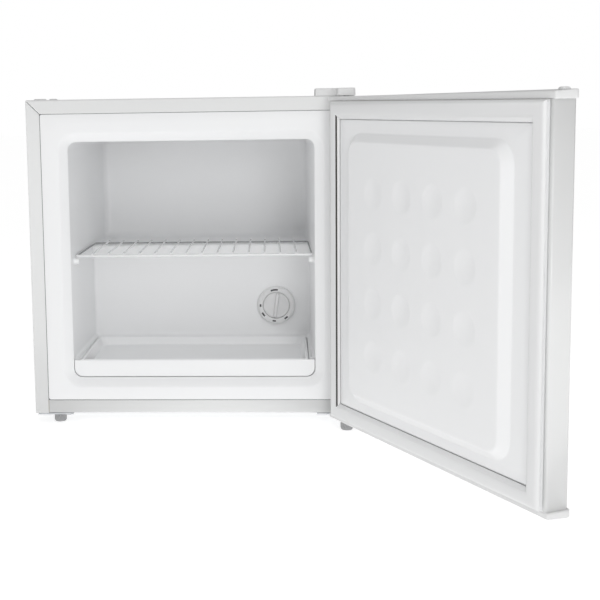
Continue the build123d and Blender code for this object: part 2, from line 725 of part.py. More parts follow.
def cap_block(z0, z1, low_crown, high_crown):
    """Solid cap whose lower and upper faces swell towards the free end, the front edge the most."""
    half = HALF_W + CAP_LIP
    front = DOOR_FRONT_Y - CAP_LIP
    sections = []
    for x, share in ((half, 0.0), (-half, 1.0)):
        corners = [
            (x, DOOR_BACK_Y, z0 + low_crown[0] * share),
            (x, front, z0 + low_crown[1] * share),
            (x, front, z1 + high_crown[1] * share),
            (x, DOOR_BACK_Y, z1 + high_crown[0] * share),
        ]
        sections.append(make_face(Polyline(*corners, close=True)))
    return loft(sections)


def door_cap(z0, z1, upper):
    """Moulded end cap across the whole door, with a pocket for the foam."""
    level = (0.0, 0.0)
    cap = cap_block(z0, z1, level, TOP_CROWN) if upper else cap_block(z0, z1, BOTTOM_CROWN, level)
    cap = fillet(upright_edges(cap, False), DOOR_SKIN_R + CAP_LIP)
    rim = cap.faces().sort_by(Axis.Z)[-1 if upper else 0].edges()
    cap = fillet(rim, CAP_EDGE_R)
    pocket_z0 = z0 if upper else z0 + CAP_WALL
    pocket_z1 = z1 - CAP_WALL if upper else z1
    half = HALF_W - CAP_POCKET
    cap -= span_box(-half, half, DOOR_FRONT_Y + CAP_POCKET, DOOR_BACK_Y - CAP_POCKET, pocket_z0, pocket_z1)
    return cap - post(HINGE_X, HINGE_Y, z0 - CAP_H, z1 + CAP_H, BUSH_R)


def door_bush(z0, z1):
    """Plastic bush that turns on a hinge pin."""
    return post(HINGE_X, HINGE_Y, z0, z1, BUSH_R) - post(HINGE_X, HINGE_Y, z0 - 1, z1 + 1, PIN_R + RUN_FIT)


def plateau(inset, y0):
    """Raised middle of the door's inner panel, drawn in by an inset."""
    x0, x1, z0, z1 = PLATEAU_BASE
    base = offset_section(x0 + inset, x1 - inset, z0 + inset, z1 - inset, y0, PLATEAU_BASE_R - inset)
    x0, x1, z0, z1 = PLATEAU_CROWN
    crown = offset_section(x0 + inset, x1 - inset, z0 + inset, z1 - inset, PLATEAU_Y - inset,
                           PLATEAU_CROWN_R - inset)
    return loft([base, crown])


def gasket_pad(inset, y0):
    """Slightly raised field of the inner panel within the gasket."""
    x0, x1, z0, z1 = PAD_LIMITS
    return span_box(x0 + inset, x1 - inset, y0, PAD_Y - inset, z0 + inset, z1 - inset)


def door_inner_panel():
    """Vacuum-formed inner panel with a raised middle and round dimples."""
    half = HALF_W - FOLD_W - 0.2
    z0 = DOOR_BOTTOM + CAP_H + 0.2
    z1 = DOOR_TOP - CAP_H - 0.2
    under = DOOR_BACK_Y - DOOR_LINER_T
    flange = span_box(-half, half, under, DOOR_BACK_Y, z0, z1)
    panel = flange + gasket_pad(0.0, DOOR_BACK_Y) + plateau(0.0, PAD_Y)
    panel = panel - gasket_pad(DOOR_LINER_T, under) - plateau(DOOR_LINER_T, PAD_Y - DOOR_LINER_T)
    for column in range(4):
        for row in range(4):
            x = (column - 1.5) * DIMPLE_PITCH_X
            z = DIMPLE_MIDDLE_Z + (row - 1.5) * DIMPLE_PITCH_Z
            panel -= rod((x, PLATEAU_Y - DIMPLE_DEPTH, z), (x, PLATEAU_Y + 1.0, z), DIMPLE_R)
    return panel


def door_foam():
    """Foam that fills the door between skin, caps and inner panel."""
    half = HALF_W - SHEET
    z0 = DOOR_BOTTOM + CAP_H
    z1 = DOOR_TOP - CAP_H
    under = DOOR_BACK_Y - DOOR_LINER_T
    block = span_box(-half, half, DOOR_FRONT_Y + SHEET, under, z0, z1)
    block = fillet(upright_edges(block, False), DOOR_SKIN_R - SHEET)
    block = fillet(upright_edges(block, True), FOLD_R - SHEET)
    block += gasket_pad(DOOR_LINER_T, under)
    block += plateau(DOOR_LINER_T, PAD_Y - DOOR_LINER_T)
    low, high = DOOR_BOTTOM + CAP_WALL, DOOR_TOP - CAP_WALL
    half = HALF_W - CAP_POCKET
    block += span_box(-half, half, DOOR_FRONT_Y + CAP_POCKET, DOOR_BACK_Y - CAP_POCKET, low, high)
    block -= post(HINGE_X, HINGE_Y, 0.0, LOWER_BUSH_Z, BUSH_R)
    return block - post(HINGE_X, HINGE_Y, UPPER_BUSH_Z, 500.0, BUSH_R)


def gasket_ring(x_outer, x_inner, z_outer, z_inner, y0, y1):
    """Rectangular ring between two rectangles, given as (low, high) pairs."""
    ring = span_box(x_outer[0], x_outer[1], y0, y1, z_outer[0], z_outer[1])
    return ring - span_box(x_inner[0], x_inner[1], y0 - 1, y1 + 1, z_inner[0], z_inner[1])


def gasket_magnets():
    """Magnetic strips inside the gasket, one closed ring."""
    return gasket_ring((-220.0, 211.0), (-212.0, 203.0), (32.0, 459.0), (40.0, 451.0), -3.6, -1.4)


def door_gasket():
    """Soft gasket: lip against the cabinet, waist and foot on the inner panel."""
    lip = gasket_ring((-230.0, 221.0), (-207.0, 200.6), (23.7, 467.6), (44.7, 444.2),
                      GASKET_LIP_Y, GASKET_TOP_Y)
    waist = gasket_ring((-222.0, 213.0), (-211.0, 204.6), (30.7, 460.6), (40.7, 448.2),
                        GASKET_FOOT_Y, GASKET_LIP_Y)
    foot = gasket_ring((-226.0, 217.0), (-208.0, 201.6), (27.7, 463.6), (43.7, 445.2),
                       DOOR_BACK_Y, GASKET_FOOT_Y)
    return lip + waist + foot - gasket_magnets()


def open_door(shape):
    """Turn a closed-door shape to the open rest position."""
    swing = Pos(HINGE_X, HINGE_Y, 0) * Rot(0, 0, DOOR_REST_DEG) * Pos(-HINGE_X, -HINGE_Y, 0)
    return swing * shape


def cabinet_foam(embedded):
    """Insulation between shell and liner, cut around what is foamed in."""
    half = HALF_W - SHEET
    block = span_box(-half, half, SHEET, REAR_PANEL_Y, BODY_BOTTOM + SHEET, BODY_TOP - SHEET)
    block -= span_box(-HALF_W, HALF_W, MACHINE_Y - SHEET, CABINET_D, 0, MACHINE_Z)
    block -= span_box(-HALF_W, HALF_W, 0, LINER_FACE_Y + LINER_T, 0, BODY_TOP)
    block -= liner_space(LINER_T)
    for piece in embedded:
        block -= piece
    return block


screws = hinge_screws()
plugs = hinge_hole_plugs()
pegs = shelf_pegs()
panel_screws = rear_screws()
coil = evaporator_tube()
coil_plate = evaporator_plate()
suction = suction_tube()
capillary = capillary_tube()
thermostat = thermostat_body()
knob_shaft = thermostat_shaft()
gland_barrel, gland_bore = cord_gland()
shaft_hole = rod((DIAL_X, 190.0, DIAL_Z), (DIAL_X, 219.5, DIAL_Z), SHAFT_R + 0.6)
left_stud_hole = post(*LEFT_STUD, 12.0, 34.0, PIN_R + RUN_FIT)
left_stud_pocket = post(*LEFT_STUD, 12.0, 36.0, PIN_R + 1.0)
foam = cabinet_foam([screws, plugs, pegs, panel_screws, coil, coil_plate, suction, capillary,
                     thermostat_case(), shaft_hole, left_stud_pocket])

nodes = {
    "cabinet_wrap": cabinet_wrap() - screws - plugs,
    "front_rail": front_rail() - screws - left_stud_pocket,
    "base_pan": base_pan() - screws - suction - capillary,
    "rear_panel": rear_panel() - panel_screws,
    "inner_liner": inner_liner() - pegs - shaft_hole,
    "insulation_foam": foam,
    "evaporator_plate": coil_plate,
    "evaporator_tube": coil,
    "suction_tube": suction,
    "capillary_tube": capillary,
    "filter_drier": filter_drier(),
    "discharge_tube": discharge_tube(),
    "condenser_return_tube": condenser_return(),
    "condenser": condenser(),
    "condenser_clips": condenser_brackets() - condenser(),
    "compressor": compressor(),
    "compressor_plate": compressor_plate() - gland_barrel,
    "compressor_grommets": compressor_grommets(),
    "start_relay_box": relay_box() - compressor(),
    "cord_gland": gland_barrel - gland_bore,
    "thermostat": thermostat,
    "dial_bezel": dial_bezel(),
    "thermostat_knob": thermostat_knob(),
    "thermostat_shaft": knob_shaft,
    "shelf_pegs": pegs,
    "wire_shelf": wire_shelf(),
    "storage_tray": storage_tray(),
    "upper_hinge_bracket": upper_hinge_bracket() - screws - upper_hinge_pin(),
    "upper_hinge_pin": upper_hinge_pin(),
    "hinge_cover": hinge_cover(),
    "lower_hinge_bracket": lower_hinge_bracket() - screws - lower_hinge_pin(),
    "lower_hinge_pin": lower_hinge_pin(),
    "left_foot_plate": left_foot_plate() - screws - left_stud_hole,
    "hinge_screws": screws,
    "hinge_hole_plugs": plugs,
    "rear_panel_screws": panel_screws,
    "wall_spacers": wall_spacers(),
    "front_foot_left": front_foot_left(),
    "front_foot_right": front_foot_right(),
    "rear_feet": rear_feet(),
    "door_skin": open_door(door_skin()),
    "door_top_cap": open_door(door_cap(DOOR_TOP - CAP_H, DOOR_TOP, True)),
    "door_bottom_cap": open_door(door_cap(DOOR_BOTTOM, DOOR_BOTTOM + CAP_H, False)),
    "door_upper_bush": open_door(door_bush(UPPER_BUSH_Z, DOOR_TOP)),
    "door_lower_bush": open_door(door_bush(DOOR_BOTTOM, LOWER_BUSH_Z)),
    "door_inner_panel": open_door(door_inner_panel()),
    "door_foam": open_door(door_foam()),
    "door_gasket": open_door(door_gasket()),
    "gasket_magnets": open_door(gasket_magnets()),
}

for name, shape in nodes.items():
    export_step(shape, f"parts/{name}.step")
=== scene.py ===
import json
import math
import bmesh
import bpy
from mathutils import Matrix, Vector


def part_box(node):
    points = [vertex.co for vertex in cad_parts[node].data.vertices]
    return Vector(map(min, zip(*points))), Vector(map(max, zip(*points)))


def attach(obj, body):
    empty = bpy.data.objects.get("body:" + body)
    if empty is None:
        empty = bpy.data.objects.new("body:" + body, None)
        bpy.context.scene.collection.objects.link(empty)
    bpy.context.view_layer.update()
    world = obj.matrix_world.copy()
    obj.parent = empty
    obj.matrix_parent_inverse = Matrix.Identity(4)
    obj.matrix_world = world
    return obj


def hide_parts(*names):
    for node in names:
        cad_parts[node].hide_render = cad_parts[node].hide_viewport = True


# Compact table-top freezer with its door open. Shapes are drawn in millimetres and scaled to metres.
# Door pieces are drawn closed, in the cabinet's axes, and then swung open about the hinge.

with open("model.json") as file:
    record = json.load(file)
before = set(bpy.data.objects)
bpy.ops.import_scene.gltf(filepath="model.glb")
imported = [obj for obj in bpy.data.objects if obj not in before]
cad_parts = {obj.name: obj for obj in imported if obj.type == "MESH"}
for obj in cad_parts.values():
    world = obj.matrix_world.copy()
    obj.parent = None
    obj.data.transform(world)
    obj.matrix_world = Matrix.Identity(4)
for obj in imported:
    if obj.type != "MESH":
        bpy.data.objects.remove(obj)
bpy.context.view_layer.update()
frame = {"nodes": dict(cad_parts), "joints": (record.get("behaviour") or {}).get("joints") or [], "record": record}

MM = 0.001
JOINTS = {joint["name"]: joint for joint in frame["joints"]}
DOOR_HINGE = JOINTS["door_hinge"]
HINGE = Vector(DOOR_HINGE["pos_m"]) / MM
OPEN_ANGLE = -math.radians(DOOR_HINGE["range_deg"][0])
SWING_OPEN = Matrix.Translation(HINGE) @ Matrix.Rotation(OPEN_ANGLE, 4, "Z") @ Matrix.Translation(-HINGE)
ARC_STEPS = 6
LATHE_STEPS = 48


# ---------------------------------------------------------------- helpers

def cad(node):
    """Lowest and highest corner of a CAD node, in millimetres."""
    low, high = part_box(node)
    return low / MM, high / MM


def cad_closed(node):
    """Lowest and highest corner of a door node with the door swung shut, in millimetres."""
    swing_shut = SWING_OPEN.inverted()
    points = [swing_shut @ (vertex.co / MM) for vertex in frame["nodes"][node].data.vertices]
    low = Vector([min(point[axis] for point in points) for axis in range(3)])
    high = Vector([max(point[axis] for point in points) for axis in range(3)])
    return low, high


def arc(centre_u, centre_v, radius, start, end, steps=ARC_STEPS):
    """Points of an arc in a plane, angles in degrees."""
    points = []
    for step in range(steps + 1):
        angle = math.radians(start + (end - start) * step / steps)
        points.append((centre_u + radius * math.cos(angle), centre_v + radius * math.sin(angle)))
    return points


def fillet_corner(before, corner, after, radius, steps=ARC_STEPS):
    """Arc that rounds one corner of an outline; always steps + 1 points."""
    here = Vector(corner)
    into, out = Vector(before) - here, Vector(after) - here
    if radius <= 0 or into.length < 1e-6 or out.length < 1e-6:
        return [tuple(here)] * (steps + 1)
    half = into.angle(out) / 2
    if half > math.radians(89.5):
        return [tuple(here)] * (steps + 1)
    setback = min(radius / math.tan(half), 0.499 * into.length, 0.499 * out.length)
    radius = setback * math.tan(half)
    centre = here + (into.normalized() + out.normalized()).normalized() * (radius / math.sin(half))
    first = here + into.normalized() * setback - centre
    last = here + out.normalized() * setback - centre
    turn = first.angle(last)
    points = []
    for step in range(steps + 1):
        share = step / steps
        blend = first * math.sin((1 - share) * turn) + last * math.sin(share * turn)
        points.append(tuple(centre + blend / math.sin(turn)))
    return points


def rounded_loop(corners, steps=ARC_STEPS):
    """Closed outline from (u, v, radius) corners."""
    points = []
    for index, (u, v, radius) in enumerate(corners):
        before = corners[index - 1][:2]
        after = corners[(index + 1) % len(corners)][:2]
        points += fillet_corner(before, (u, v), after, radius, steps)
    return points


def rounded_path(corners, steps=ARC_STEPS):
    """Open outline from (u, v, radius) corners; the end points are kept."""
    points = [corners[0][:2]]
    for before, (u, v, radius), after in zip(corners, corners[1:], corners[2:]):
        points += fillet_corner(before[:2], (u, v), after[:2], radius, steps)
    points.append(corners[-1][:2])
    return points


def add_ring(bm, points):
    return [bm.verts.new(point) for point in points]


def bridge(bm, ring, following, closed=True):
    """Quads between two rings of equal length."""
    count = len(ring)
    for index in range(count if closed else count - 1):
        after = (index + 1) % count
        corners = [ring[index], ring[after], following[after], following[index]]
        bm.faces.new(corners)


def loft(bm, rings, closed=True, cap_start=False, cap_end=False):
    """Skin through rings of points; returns the rings of vertices."""
    made = [add_ring(bm, ring) for ring in rings]
    for ring, following in zip(made, made[1:]):
        bridge(bm, ring, following, closed)
    if cap_start:
        bm.faces.new(made[0])
    if cap_end:
        bm.faces.new(made[-1])
    return made


def lathe(bm, profile, origin, axis="Z", steps=LATHE_STEPS, radius_at=None):
    """Turns a (radius, height) profile about an axis through origin."""
    rings = []
    for radius, height in profile:
        ring = []
        for step in range(steps):
            angle = 2 * math.pi * step / steps
            reach = radius_at(radius, height, angle) if radius_at else radius
            across, up = reach * math.cos(angle), reach * math.sin(angle)
            offset = {"Z": (across, up, height), "Y": (across, height, up), "X": (height, across, up)}[axis]
            ring.append(Vector(origin) + Vector(offset))
        rings.append(ring)
    loft(bm, rings, cap_start=True, cap_end=True)


def tube(bm, points, radius, steps=12):
    """Round wire along points, with domed ends."""
    path = [Vector(point) for point in points]
    directions = []
    for index, point in enumerate(path):
        before, after = path[max(index - 1, 0)], path[min(index + 1, len(path) - 1)]
        directions.append((after - before).normalized())
    side = directions[0].orthogonal().normalized()
    frames = []
    for point, direction in zip(path, directions):
        side = (side - direction * side.dot(direction)).normalized()
        frames.append((point, direction, side, direction.cross(side)))
    dome = [(math.sin(math.radians(a)), math.cos(math.radians(a))) for a in (15, 45, 70)]
    start, end = frames[0], frames[-1]
    stations = [(start[0] - start[1] * radius * back, *start[1:], wide) for wide, back in dome]
    stations += [(*item, 1.0) for item in frames]
    stations += [(end[0] + end[1] * radius * back, *end[1:], wide) for wide, back in reversed(dome)]
    rings = []
    for centre, _, first, second, wide in stations:
        ring = []
        for step in range(steps):
            angle = 2 * math.pi * step / steps
            ring.append(centre + (first * math.cos(angle) + second * math.sin(angle)) * radius * wide)
        rings.append(ring)
    loft(bm, rings, cap_start=True, cap_end=True)


def bent_path(points, bend, steps=5):
    """Points of a 3-D route with rounded corners."""
    path = [Vector(points[0])]
    for before, corner, after in zip(points, points[1:], points[2:]):
        path += [Vector(point) for point in fillet_corner(before, corner, after, bend, steps)]
    return path + [Vector(points[-1])]


def slab(bm, outline, low, high, edge, steps=3, axis="Z"):
    """Solid with the outline (u, v), from low to high along axis, and rounded rims of radius edge."""
    centre_u = (min(u for u, v in outline) + max(u for u, v in outline)) / 2
    centre_v = (min(v for u, v in outline) + max(v for u, v in outline)) / 2
    half_u = max(u for u, v in outline) - centre_u
    half_v = max(v for u, v in outline) - centre_v
    levels = [(edge - edge * math.sin(math.radians(90 * s / steps)),
               low + edge - edge * math.cos(math.radians(90 * s / steps))) for s in range(steps + 1)]
    levels += [(inset, low + high - height) for inset, height in reversed(levels)]
    rings = []
    for inset, height in levels:
        ring = []
        for u, v in outline:
            new_u = centre_u + (u - centre_u) * (half_u - inset) / half_u
            new_v = centre_v + (v - centre_v) * (half_v - inset) / half_v
            ring.append({"Z": (new_u, new_v, height), "Y": (new_u, height, new_v),
                         "X": (height, new_u, new_v)}[axis])
        rings.append(ring)
    loft(bm, rings, cap_start=True, cap_end=True)


def rectangle(u0, u1, v0, v1, radius, steps=ARC_STEPS):
    return rounded_loop([(u0, v0, radius), (u1, v0, radius), (u1, v1, radius), (u0, v1, radius)], steps)


def piece(name, bm, body, material, replaces=(), opened=False, sheet=None, crease=32):
    """Turns a mesh in millimetres into a finished piece that rides on a body."""
    bmesh.ops.remove_doubles(bm, verts=bm.verts, dist=0.002)
    bmesh.ops.dissolve_degenerate(bm, edges=bm.edges, dist=0.002)
    if sheet is None:
        bmesh.ops.recalc_face_normals(bm, faces=bm.faces)
    if opened:
        bmesh.ops.transform(bm, matrix=SWING_OPEN, verts=bm.verts)
    bmesh.ops.scale(bm, vec=(MM, MM, MM), verts=bm.verts)
    mesh = bpy.data.meshes.new(name)
    bm.to_mesh(mesh)
    bm.free()
    mesh.shade_smooth()
    mesh.set_sharp_from_angle(angle=math.radians(crease))
    mesh.materials.append(material)
    made = bpy.data.objects.new(name, mesh)
    bpy.context.scene.collection.objects.link(made)
    if sheet is not None:
        solidify = made.modifiers.new("thickness", "SOLIDIFY")
        solidify.thickness = sheet * MM
        solidify.offset = -1.0
    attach(made, body)
    if replaces:
        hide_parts(*replaces)
    return made


# ---------------------------------------------------------------- materials

def node_material(name):
    """A new material with its nodes, links, shader and object coordinates."""
    material = bpy.data.materials.new(name)
    material.use_nodes = True
    nodes, links = material.node_tree.nodes, material.node_tree.links
    shader = nodes["Principled BSDF"]
    place = nodes.new("ShaderNodeTexCoord")
    return material, nodes, links, shader, place.outputs["Object"]


def noise(nodes, links, place, scale, detail=2.0, stretch=None):
    """Noise texture; scale is in features per metre."""
    texture = nodes.new("ShaderNodeTexNoise")
    texture.inputs["Scale"].default_value = scale
    texture.inputs["Detail"].default_value = detail
    if stretch:
        mapping = nodes.new("ShaderNodeMapping")
        mapping.inputs["Scale"].default_value = stretch
        links.new(place, mapping.inputs["Vector"])
        place = mapping.outputs["Vector"]
    links.new(place, texture.inputs["Vector"])
    return texture.outputs["Fac"]


def spread(nodes, links, value, low, high):
    """Maps the middle of a noise onto low..high."""
    span = nodes.new("ShaderNodeMapRange")
    span.inputs["From Min"].default_value = 0.3
    span.inputs["From Max"].default_value = 0.7
    span.inputs["To Min"].default_value = low
    span.inputs["To Max"].default_value = high
    links.new(value, span.inputs["Value"])
    return span.outputs["Result"]


def tint(nodes, links, value, first, second):
    """Mixes two colours by a value from 0 to 1."""
    mix = nodes.new("ShaderNodeMix")
    mix.data_type = "RGBA"
    mix.inputs["A"].default_value = (*first, 1.0)
    mix.inputs["B"].default_value = (*second, 1.0)
    links.new(value, mix.inputs["Factor"])
    return mix.outputs["Result"]


def relief(nodes, links, shader, layers):
    """Chained bumps; each layer is (height value, depth in millimetres)."""
    normal = None
    for value, depth in layers:
        bump = nodes.new("ShaderNodeBump")
        bump.inputs["Strength"].default_value = 1.0
        bump.inputs["Distance"].default_value = depth * MM
        links.new(value, bump.inputs["Height"])
        if normal:
            links.new(normal, bump.inputs["Normal"])
        normal = bump.outputs["Normal"]
    links.new(normal, shader.inputs["Normal"])


def finish(name, colour, shade, rough, relief_layers, metallic=0.0, coat=0.0, patch=9.0, specular=0.5,
           rough_scale=60.0, stretch=None):
    """A finish: colour that drifts to a second shade, uneven roughness, and layers of relief.

    rough is (low, high); relief_layers holds (features per metre, detail, depth in millimetres).
    """
    material, nodes, links, shader, place = node_material(name)
    drift = spread(nodes, links, noise(nodes, links, place, patch, 3.0), 0.0, 1.0)
    links.new(tint(nodes, links, drift, colour, shade), shader.inputs["Base Color"])
    gloss = noise(nodes, links, place, rough_scale, 3.0, stretch)
    links.new(spread(nodes, links, gloss, *rough), shader.inputs["Roughness"])
    layers = []
    for scale, detail, depth in relief_layers:
        layers.append((noise(nodes, links, place, scale, detail, stretch), depth))
    relief(nodes, links, shader, layers)
    shader.inputs["Metallic"].default_value = metallic
    shader.inputs["Coat Weight"].default_value = coat
    shader.inputs["Coat Roughness"].default_value = 0.12
    shader.inputs["Specular IOR Level"].default_value = specular
    return material


def zinc_material():
    """Zinc-plated steel with a faint spangle of crystals."""
    material, nodes, links, shader, place = node_material("zinc plated steel")
    cells = nodes.new("ShaderNodeTexVoronoi")
    cells.inputs["Scale"].default_value = 120.0
    links.new(place, cells.inputs["Vector"])
    split = nodes.new("ShaderNodeSeparateColor")
    links.new(cells.outputs["Color"], split.inputs["Color"])
    tone = split.outputs["Red"]
    links.new(tint(nodes, links, tone, (0.50, 0.52, 0.54), (0.66, 0.67, 0.68)), shader.inputs["Base Color"])
    links.new(spread(nodes, links, split.outputs["Green"], 0.28, 0.46), shader.inputs["Roughness"])
    relief(nodes, links, shader, [(noise(nodes, links, place, 900.0), 0.01)])
    shader.inputs["Metallic"].default_value = 0.95
    return material


def foam_material():
    """Poured foam with open cells."""
    material, nodes, links, shader, place = node_material("poured foam")
    cells = nodes.new("ShaderNodeTexVoronoi")
    cells.inputs["Scale"].default_value = 700.0
    links.new(place, cells.inputs["Vector"])
    depth = cells.outputs["Distance"]
    links.new(tint(nodes, links, depth, (0.62, 0.53, 0.33), (0.88, 0.80, 0.58)), shader.inputs["Base Color"])
    shader.inputs["Roughness"].default_value = 0.9
    relief(nodes, links, shader, [(depth, 0.4), (noise(nodes, links, place, 60.0), 0.8)])
    return material


MATERIALS = {
    "white_paint": finish("white baked paint", (0.80, 0.805, 0.803), (0.812, 0.817, 0.815), (0.28, 0.31),
                          [(420.0, 1.0, 0.0015)], coat=0.25, patch=3.0),
    "liner_plastic": finish("white vacuum formed plastic", (0.925, 0.93, 0.937), (0.935, 0.94, 0.945),
                            (0.30, 0.34), [(700.0, 1.0, 0.002), (14.0, 1.0, 0.03)], patch=3.0),
    "white_plastic": finish("white moulded plastic", (0.80, 0.805, 0.805), (0.82, 0.82, 0.82), (0.36, 0.42),
                            [(1600.0, 2.0, 0.003)], patch=3.0),
    "gasket_rubber": finish("off-white soft gasket", (0.84, 0.845, 0.85), (0.855, 0.858, 0.86), (0.50, 0.56),
                            [(700.0, 2.0, 0.004)], specular=0.35),
    "shelf_wire": finish("white coated wire", (0.83, 0.84, 0.845), (0.86, 0.865, 0.87), (0.18, 0.28),
                         [(500.0, 2.0, 0.006)], coat=0.4),
    # dark grey frame wire: its dark tone is painted shade for the shadow gaps under and beside the shelf's frame
    "shelf_frame_painted_shade": finish("dark wire as painted shade", (0.30, 0.305, 0.31), (0.36, 0.362, 0.365), (0.34, 0.46),
                          [(900.0, 2.0, 0.006)], metallic=0.6),
    "zinc_steel": zinc_material(),
    "black_paint": finish("black enamel", (0.018, 0.018, 0.020), (0.030, 0.029, 0.028), (0.25, 0.48),
                          [(380.0, 3.0, 0.03)], coat=0.3),
    "black_rubber": finish("black rubber", (0.022, 0.022, 0.022), (0.040, 0.038, 0.036), (0.62, 0.78),
                           [(800.0, 4.0, 0.03)], specular=0.3),
    "black_plastic": finish("black moulded plastic", (0.028, 0.028, 0.030), (0.040, 0.040, 0.042),
                            (0.38, 0.52), [(1500.0, 3.0, 0.015)]),
    "copper": finish("tarnished copper", (0.72, 0.36, 0.22), (0.46, 0.22, 0.14), (0.22, 0.44),
                     [(500.0, 3.0, 0.008)], metallic=1.0, patch=70.0),
    "aluminium_sheet": finish("rolled aluminium", (0.74, 0.75, 0.76), (0.66, 0.67, 0.68), (0.26, 0.42),
                              [(900.0, 2.0, 0.006)], metallic=1.0, stretch=(1.0, 0.05, 0.05)),
    "insulation": foam_material(),
    "magnet": finish("bonded magnet", (0.035, 0.032, 0.030), (0.055, 0.050, 0.048), (0.6, 0.75),
                     [(1200.0, 3.0, 0.02)]),
    "foot_plastic": finish("grey moulded plastic", (0.37, 0.375, 0.38), (0.42, 0.42, 0.425), (0.42, 0.56),
                           [(1300.0, 3.0, 0.02)]),
}
PRINT = finish("dial print", (0.05, 0.052, 0.055), (0.08, 0.08, 0.085), (0.5, 0.6), [(1500.0, 2.0, 0.005)])
SEALANT = finish("grey sealant", (0.16, 0.165, 0.17), (0.22, 0.225, 0.23), (0.6, 0.8), [(600.0, 3.0, 0.02)])


def dress_cad_nodes():
    """Gives every CAD node the finish of its slot."""
    for part in frame["record"]["subparts"]:
        node = frame["nodes"][part["node"]]
        node.data.materials.clear()
        node.data.materials.append(MATERIALS[part["material_slot"]])


# ---------------------------------------------------------------- cabinet shell

FLANGE = 20.0
FRONT_FOLD = 2.6
TOP_FOLD = 2.2
MITRE_GAP = 0.7
HEM = 7.0
HEM_R = 0.9
SHEET = 0.8


def face_outwards(bm, faces, middle):
    """Turns one sheet's faces so that their normals point away from the middle."""
    bmesh.ops.recalc_face_normals(bm, faces=faces)
    if sum(face.normal.dot(face.calc_center_median() - middle) * face.calc_area() for face in faces) < 0:
        bmesh.ops.reverse_faces(bm, faces=faces)


def joint_seal():
    """Dark sealing strips behind the joint between flanges and liner, and behind the two mitres."""
    low, high = cad("inner_liner")
    wide, front, back = 1.6, low.y + 0.55, low.y + 1.35
    rings = []
    for grow, y in ((-wide, front), (wide, front), (wide, back), (-wide, back), (-wide, front)):
        outline = rectangle(low.x - grow, high.x + grow, low.z - grow, high.z + grow, 3.0, 2)
        rings.append([(x, y, z) for x, z in outline])
    bm = bmesh.new()
    loft(bm, rings)
    corner = cad("cabinet_wrap")[1]
    front += 0.2
    section = ((-wide, front), (wide, front), (wide, back), (-wide, back))
    for side in (-1, 1):
        rings = []
        for inset in (FRONT_FOLD, FLANGE - 1.0):
            x, z = side * (corner.x - inset), corner.z - inset
            rings.append([(x + side * across, y, z - across) for across, y in section])
        loft(bm, rings, cap_start=True, cap_end=True)
    piece("joint_seal", bm, "cabinet", SEALANT)


def cabinet_shell():
    """Folded sheet: sides, top and mitred front flanges."""
    low, high = cad("cabinet_wrap")
    section = [(FLANGE, HEM)] + arc(FLANGE - HEM_R, HEM_R, HEM_R, 0, -90, 3)
    section += [(FLANGE - HEM_R - 0.4, 0.0), (FRONT_FOLD + 0.4, 0.0)]
    section += arc(FRONT_FOLD, FRONT_FOLD, FRONT_FOLD, -90, -180, 5)
    section += [(0.0, 12.0), (0.0, 200.0), (0.0, high.y - 1.0)]

    def station(corner_x, side, angle, upright):
        """Section at one turn of the corner; the flange ends short of the mitre line."""
        ring = []
        for inset, y in section:
            reach, radius = max(TOP_FOLD, inset), max(TOP_FOLD - inset, 0.0)
            short = MITRE_GAP / math.sqrt(2) if inset >= FRONT_FOLD else 0.0
            turned = math.radians(angle)
            x = corner_x - side * (reach + (0.0 if upright else short) - radius * math.cos(turned))
            z = high.z - reach - (short if upright else 0.0) + radius * math.sin(turned)
            ring.append((x, y, z))
        return ring

    strips, over = [], []
    settle = 2.0     # a station this far from the corner keeps the flat faces' shading flat
    for side, corner_x in ((-1, low.x), (1, high.x)):
        upright = [station(corner_x, side, angle, True) for angle in (0, 22.5, 45)]
        foot = [(x, y, low.z) for x, y, z in upright[0]]
        strips.append([foot, [(x, y, z - settle) for x, y, z in upright[0]]] + upright)
        half = [station(corner_x, side, angle, False) for angle in (45, 67.5, 90)]
        half.append([(x - side * settle, y, z) for x, y, z in half[-1]])
        over += half if side < 0 else half[::-1]
    strips.append(over)
    middle = Vector((0.0, (low.y + high.y) / 2, (low.z + high.z) / 2))
    bm = bmesh.new()
    for strip in strips:
        earlier = set(bm.faces)
        loft(bm, strip, closed=False)
        face_outwards(bm, [face for face in bm.faces if face not in earlier], middle)
    bmesh.ops.remove_doubles(bm, verts=bm.verts, dist=0.01)
    piece("cabinet_shell", bm, "cabinet", MATERIALS["white_paint"], ["cabinet_wrap"],
          sheet=SHEET)


def bottom_rail():
    """Front rail with a hemmed top and a rounded lower fold."""
    low, high = cad("front_rail")
    end_gap = 0.3
    outline = [(HEM, high.z)] + arc(HEM_R, high.z - HEM_R, HEM_R, 90, 180, 3)
    outline += arc(FRONT_FOLD, low.z + FRONT_FOLD, FRONT_FOLD, 180, 270, 5) + [(high.y, low.z)]
    bm = bmesh.new()
    rings = [[(x, y, z) for y, z in outline] for x in (low.x + end_gap, high.x - end_gap)]
    loft(bm, rings, closed=False)
    bmesh.ops.recalc_face_normals(bm, faces=bm.faces)
    if sum(face.normal.y for face in bm.faces) > 0:
        bmesh.ops.reverse_faces(bm, faces=bm.faces)
    piece("bottom_rail", bm, "cabinet", MATERIALS["white_paint"], ["front_rail"],
          sheet=SHEET)


# ---------------------------------------------------------------- inner liner

MOUTH_Y = 10.0
CHAMBER_Y = 12.6
OPEN_HALF = 178.0
OPEN_LOW, OPEN_HIGH = 68.0, 415.0
OPEN_R = 12.0
WALL_KINK_Y = 187.0
LOWER_BACK_Y, LOWER_BACK_HALF = 196.0, 174.5
UPPER_BACK_Y, UPPER_BACK_HALF = 305.0, 171.0
CEILING_FALL, FALL_FROM_Z = 4.0, 300.0
LEDGE_Z = 242.6
SHOULDER_Z = 94.0
WELL_HALF, WELL_BACK = 169.0, 186.0
CORNER_R, LOWER_CORNER_R = 12.0, 9.0
SEAT_Y, SEAT_STEP = 22.0, 0.7
LINER_T = 1.4


